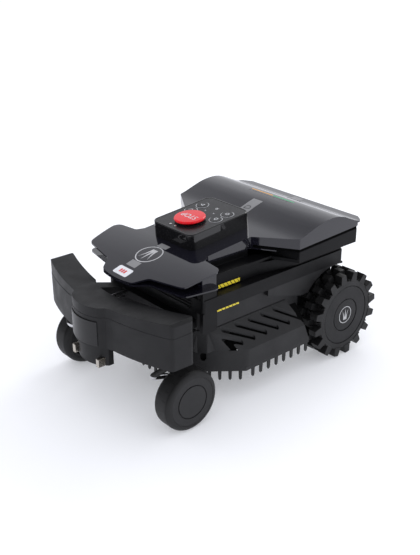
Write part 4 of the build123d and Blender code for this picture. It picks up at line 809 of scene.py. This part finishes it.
button_red = gloss_plastic("stop_button_red", (0.72, 0.002, 0.010), (0.14, 0.24), 0.00004, coat=0.3)
stop_head = finished("stop_button", "stop_mushroom", 0.0008, button_red, steps=3)
stop_low, stop_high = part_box("stop_button")
stop_middle = Vector(((stop_low[0] + stop_high[0]) / 2, (stop_low[1] + stop_high[1]) / 2, 0))
letter_stretch, letter_lift, letter_sheet = 1.15, 0.00016, 0.00025
lettering = bpy.data.curves.new("stop_lettering", "FONT")
lettering.body = "STOP"
lettering.size = 0.0165
lettering.align_x, lettering.align_y = "CENTER", "CENTER"
lettering_holder = new_piece("stop_lettering", lettering)
letters = as_made(lettering_holder)
bpy.data.objects.remove(lettering_holder)
letters.transform(Matrix.Translation(stop_middle) @ Matrix.Rotation(pi, 4, "Z")
                  @ Matrix.Diagonal((1, letter_stretch, 1, 1)))
letter_shape = bmesh.new()
letter_shape.from_mesh(letters)
fixed_to(film("stop_letters", letter_shape, on_slope(surface_of(stop_head), letter_lift), letter_sheet),
         "stop_button", legend_white)


# ------------------------------ bumper
# The floating bumper is a deep charcoal shell under a lid with chamfered rims. It carries a
# smooth panel in front, and a jaw below with two nickel contacts for the charging station.
bumper_charcoal = grained_plastic(
    "bumper_charcoal", (0.0030, 0.0030, 0.0036), (0.0050, 0.0050, 0.0060), (0.40, 0.54), 0.0009, 0.03, 0.00012,
    specular=0.42)
panel_smooth = grained_plastic(
    "bumper_panel_smooth", (0.006, 0.006, 0.0065), (0.008, 0.008, 0.009), (0.26, 0.36), 0.0006, 0.03, 0.00003)
buffer_rubber = grained_plastic(
    "buffer_rubber", (0.010, 0.010, 0.010), (0.018, 0.018, 0.017), (0.62, 0.78), 0.0012, 0.02, 0.00012, specular=0.35)
finished("bumper_guides", "bumper_guide_rods", 0.0004, ground_steel)
finished("bumper_buffers", "bumper_buffer_sleeves", 0.0012, buffer_rubber)
finished("bumper_body", "bumper_shell", 0.0012, bumper_charcoal)
finished("bumper_cap", "bumper_lid", 0.0026, bumper_charcoal, sharp=24, steps=2)
finished("bumper_face", "bumper_front_panel", 0.0008, panel_smooth, merged=False)
for side, _ in SIDES:
    finished(f"charge_contact_{side}", f"charge_contact_strip_{side}", 0.0014, contact_nickel, steps=3)

# ------------------------------ front axle
# A moulded beam runs out to the casters. A brass bush in each end carries a bent steel rod that
# is stem, arm and axle in one, with a dark sleeve over its upper part.
bush_brass = worked_metal(
    "bush_brass", (0.55, 0.40, 0.16), (0.25, 0.42), 0.0008, (1, 1, 0.2), 0.00002, (0.7, 0.6, 0.5))


def fed_by(socket):
    """The output that feeds an input now."""
    return socket.links[0].from_socket


def sleeved_rod(name, sleeve_low):
    """Polished rod below, dark shrink sleeve above: one material split by height."""
    material = worked_metal(name, (0.80, 0.80, 0.82), (0.10, 0.20), 0.0010, (1, 1, 0.15), 0.00001, (0.88, 0.88, 0.88))
    tree = material.node_tree
    shader = tree.nodes["Principled BSDF"]
    place = surface_place(tree)
    wander = 0.0006
    edge = maths(tree, "MULTIPLY_ADD", noise(tree, place, 120.0), wander, split(tree, place)["Z"])
    sleeve = maths(tree, "GREATER_THAN", edge, sleeve_low)
    bright = fed_by(shader.inputs["Base Color"])
    fill(tree, shader, {
        "Base Color": blended(tree, sleeve, bright, (0.006, 0.006, 0.006, 1)),
        "Roughness": ranged(tree, sleeve, fed_by(shader.inputs["Roughness"]), 0.55),
        "Metallic": maths(tree, "SUBTRACT", 1.0, sleeve)})
    return material


arm_polished = sleeved_rod("arm_polished_steel", 0.108)
finished("front_axle_beam", "front_axle_beam_moulding", 0.0010, body_charcoal)
for side, _ in SIDES:
    finished(f"caster_bush_{side}", f"caster_bush_turning_{side}", 0.0004, bush_brass)
    finished(f"caster_arm_{side}", f"caster_rod_{side}", 0.0003, arm_polished, sharp=40)


# ------------------------------ casters
# Each caster has a fat rubber tyre, cut with short slits in two staggered rows and a groove
# round each shoulder, on a nylon rim closed by a pressed-in disc.
def slit_rubber(name, slits, middle_x, axle_y, axle_z):
    """Tyre rubber whose tread slits are placed by angle round the axle; the slits and shoulder grooves are bumped in
    and painted near black as painted shade.
    """
    material = grained_plastic(name, (0.0075, 0.0075, 0.0078), (0.012, 0.012, 0.0122), (0.44, 0.58), 0.0010, 0.03,
                               0.00010, specular=0.4)
    tree = material.node_tree
    shader = tree.nodes["Principled BSDF"]
    row_off, row_half, slit_share = 0.0080, 0.0042, 0.055
    groove_off, groove_half, cut_depth = 0.0148, 0.0006, -9.0
    spot = split(tree, surface_place(tree))
    along, up = maths(tree, "SUBTRACT", spot["Y"], axle_y), maths(tree, "SUBTRACT", spot["Z"], axle_z)
    turns = maths(tree, "MULTIPLY", maths(tree, "ARCTAN2", up, along), slits / (2 * pi))
    aside = maths(tree, "SUBTRACT", maths(tree, "ABSOLUTE", spot["X"]), middle_x)
    outer_row = maths(tree, "GREATER_THAN", aside, 0.0)
    phase = maths(tree, "FRACT", maths(tree, "MULTIPLY_ADD", outer_row, 0.5, turns))
    reach = maths(tree, "ABSOLUTE", aside)
    slit = maths(tree, "MULTIPLY", maths(tree, "COMPARE", phase, 0.5, slit_share),
                 maths(tree, "COMPARE", reach, row_off, row_half))
    cuts_and_shade = maths(tree, "MAXIMUM", slit, maths(tree, "COMPARE", reach, groove_off, groove_half))
    bump = next(node for node in tree.nodes if node.type == "BUMP")
    fill(tree, bump, {"Height": maths(tree, "MULTIPLY_ADD", cuts_and_shade, cut_depth, fed_by(bump.inputs["Height"]))})
    # The slits and grooves are only bumped; their near-black colour is painted shade.
    plain = fed_by(shader.inputs["Base Color"])
    fill(tree, shader, {"Base Color": blended(tree, cuts_and_shade, plain, (0.0015, 0.0015, 0.0015, 1))})
    return material


caster_rubber = slit_rubber("caster_rubber", 20, 0.1589, -0.1934, 0.0570)
rim_nylon = grained_plastic(
    "caster_rim_nylon", (0.006, 0.006, 0.0065), (0.009, 0.009, 0.010), (0.40, 0.52), 0.0009, 0.03, 0.00008)
for side, _ in SIDES:
    finished(f"caster_tyre_{side}", f"caster_tyre_rubber_{side}", 0, caster_rubber, merged=False)
    finished(f"caster_rim_{side}", f"caster_rim_moulding_{side}", 0.0008, rim_nylon)
    finished(f"caster_cap_{side}", f"caster_disc_{side}", 0, rim_nylon)


# ------------------------------ drive wheels
# The tyre is one rubber moulding with three rows of blocks; small chevrons between the blocks
# grip wet grass. Its hub is grained nylon, and the cap carries the grass badge in silver ink.
tyre_rubber = grained_plastic(
    "drive_tyre_rubber", (0.0055, 0.0055, 0.0058), (0.0095, 0.0095, 0.0097), (0.42, 0.58), 0.0012, 0.03, 0.00014,
    specular=0.42)
hub_nylon = grained_plastic(
    "hub_nylon", (0.0050, 0.0050, 0.0056), (0.0075, 0.0075, 0.0084), (0.40, 0.52), 0.0010, 0.03, 0.00010,
    specular=0.36)
wheel_axle_y, wheel_axle_z = 0.210, 0.090
tread_radius = 0.073


def chevron_ring_tree():
    """V-shaped ribs set round a wheel whose axle lies along X."""
    tree, given, way_out = growth_tree("chevron_ring", "Chevrons", "Radius", "Half Width", "Half Depth", "Rib Width",
                                       "Rib Height", "First Angle")
    back = maths(tree, "MULTIPLY", given["Half Depth"], -1.0)
    bent = place_node(tree, "GeometryNodeCurveQuadraticBezier", {
        "Resolution": 6, "Start": xyz(tree, X=maths(tree, "MULTIPLY", given["Half Width"], -1.0), Z=back),
        "Middle": xyz(tree, Z=given["Half Depth"]), "End": xyz(tree, X=given["Half Width"], Z=back)})
    section = place_node(tree, "GeometryNodeCurvePrimitiveQuadrilateral", {"Width": given["Rib Height"],
                         "Height": given["Rib Width"]})
    rib = place_node(tree, "GeometryNodeCurveToMesh", {"Curve": bent.outputs[0], "Profile Curve": section.outputs[0],
                     "Fill Caps": True})
    number = place_node(tree, "GeometryNodeInputIndex").outputs[0]
    share = maths(tree, "DIVIDE", number, given["Chevrons"])
    angle = maths(tree, "MULTIPLY_ADD", share, 2 * pi, given["First Angle"])
    spot = xyz(tree, Y=maths(tree, "MULTIPLY", maths(tree, "COSINE", angle), given["Radius"]),
                 Z=maths(tree, "MULTIPLY", maths(tree, "SINE", angle), given["Radius"]))
    round_axle = place_node(tree, "GeometryNodeSetPosition", {
        "Geometry": point_row(tree, given["Chevrons"]), "Position": spot})
    turned = place_node(tree, "FunctionNodeEulerToRotation", {0: xyz(tree, X=angle)})
    repeated(tree, round_axle.outputs["Geometry"], rib.outputs["Mesh"], tyre_rubber, way_out,
             Rotation=turned.outputs[0])
    return tree


chevron_ring = chevron_ring_tree()
blocks_round, rib_lift = 16, 0.0008
chevron_sizes = {"Chevrons": blocks_round, "Radius": tread_radius + rib_lift, "Half Width": 0.0075,
                 "Half Depth": 0.0042, "Rib Width": 0.0024, "Rib Height": 0.0046}
block_phase = radians(8.8)
block_pitch = 2 * pi / blocks_round
row_centres = (0.1278, 0.1475, 0.1672)
badge_size, badge_lift, badge_sheet = 0.036, 0.00012, 0.0002
for side, sign in SIDES:
    finished(f"drive_tyre_{side}", f"drive_tyre_moulding_{side}", 0.0018, tyre_rubber)
    chevrons = []
    for row, centre_x in enumerate(row_centres):
        first = block_phase + block_pitch / 2 * ((row + 1) % 2)
        chevrons.append((grown(chevron_ring, {**chevron_sizes, "First Angle": first}),
                         Matrix.Translation((sign * centre_x, wheel_axle_y, wheel_axle_z))))
    fixed_to(joined(f"tread_chevrons_{side}", chevrons), f"drive_tyre_{side}", tyre_rubber)
    finished(f"drive_hub_{side}", f"drive_hub_moulding_{side}", 0.0007, hub_nylon)
    finished(f"hub_cap_{side}", f"hub_cap_disc_{side}", 0, hub_nylon)
    cap_low, cap_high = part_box(f"hub_cap_{side}")
    cap_face = cap_high[0] if sign > 0 else cap_low[0]

    def on_cap(across, up, cap_face=cap_face, sign=sign):
        """A seat on the flat outer face of the cap."""
        return Vector((cap_face + sign * badge_lift, wheel_axle_y + sign * across, wheel_axle_z + up))

    badge = bmesh.new()
    grass_badge(badge, badge_size)
    fixed_to(film(f"hub_badge_{side}", badge, on_cap, badge_sheet), f"hub_cap_{side}", badge_silver)


# ------------------------------ studio
# A plain pale floor, one softbox behind the mower, and bright even air. Gloss sees the air as
# dimmer high up and in front, which gives the cover its dark face and its light crest.
floor_half = 14.0
floor_mesh = bpy.data.meshes.new("studio_floor")
floor_mesh.from_pydata([(-floor_half, -floor_half, 0), (floor_half, -floor_half, 0), (floor_half, floor_half, 0),
                        (-floor_half, floor_half, 0)], [], [(0, 1, 2, 3)])
floor = new_piece("studio_floor", floor_mesh)
floor_paper, paper, floor_shader = new_finish("floor_paper")
# The floor is painted dimmer where gloss reflects it: a painted dark reflection.
floor_ray = place_node(paper, "ShaderNodeLightPath").outputs["Is Glossy Ray"]
fill(paper, floor_shader, {
    "Base Color": blended(paper, floor_ray, (0.72, 0.725, 0.74, 1), (0.50, 0.50, 0.52, 1)),
    "Roughness": 0.7, "Specular IOR Level": 0.1, "Emission Color": (0.95, 0.965, 1.0, 1), "Emission Strength": 0.30})
floor_mesh.materials.append(floor_paper)

softbox = bpy.data.lights.new("rear_softbox", "AREA")
softbox.shape = "RECTANGLE"
softbox.size, softbox.size_y = 1.6, 1.2
softbox.energy = 22
softbox_place, softbox_aim = Vector((-0.6, 2.4, 2.2)), Vector((0, 0, 0.1))
softbox_stand = new_piece("rear_softbox", softbox)
softbox_stand.location = softbox_place
softbox_stand.rotation_euler = (softbox_aim - softbox_place).to_track_quat("-Z", "Y").to_euler()

world = bpy.data.worlds.new("studio_air")
world.use_nodes = True
bpy.context.scene.world = world
air = world.node_tree
sky_ray = place_node(air, "ShaderNodeLightPath").outputs["Is Glossy Ray"]
sky_place = place_node(air, "ShaderNodeTexCoord").outputs["Generated"]
sky_split = split(air, sky_place)
sky_ramp = place_node(air, "ShaderNodeValToRGB", {"Fac": sky_split["Z"]})
sky_levels = sky_ramp.color_ramp.elements
sky_levels.new(0.45)
for level, (height, grey) in zip(sky_levels, ((0.0, 0.75), (0.45, 0.80), (0.95, 0.10))):
    level.position = height
    level.color = (grey, grey, grey, 1)
sky_gloss = maths(air, "MULTIPLY", sky_ramp.outputs["Color"], ranged(air, sky_split["Y"], 0.12, 1.0, -0.45, 0.10))
sky_strength = place_node(air, "ShaderNodeMix", {"Factor": sky_ray, "A": 1.12, "B": sky_gloss}, data_type="FLOAT")
fill(air, air.nodes["Background"], {"Color": (0.94, 0.95, 1.0, 1), "Strength": sky_strength.outputs["Result"]})

bpy.context.scene.view_settings.view_transform = "Standard"

camera_lens = bpy.data.cameras.new("camera")
camera_lens.lens = 54.22
camera_lens.sensor_width = 36.0
camera = new_piece("camera", camera_lens)
camera.location = (1.12228, -0.97899, 0.84784)
look_down, look_round = 24.311, 48.831
camera.rotation_euler = (radians(90 - look_down), 0, radians(look_round))
bpy.context.scene.camera = camera
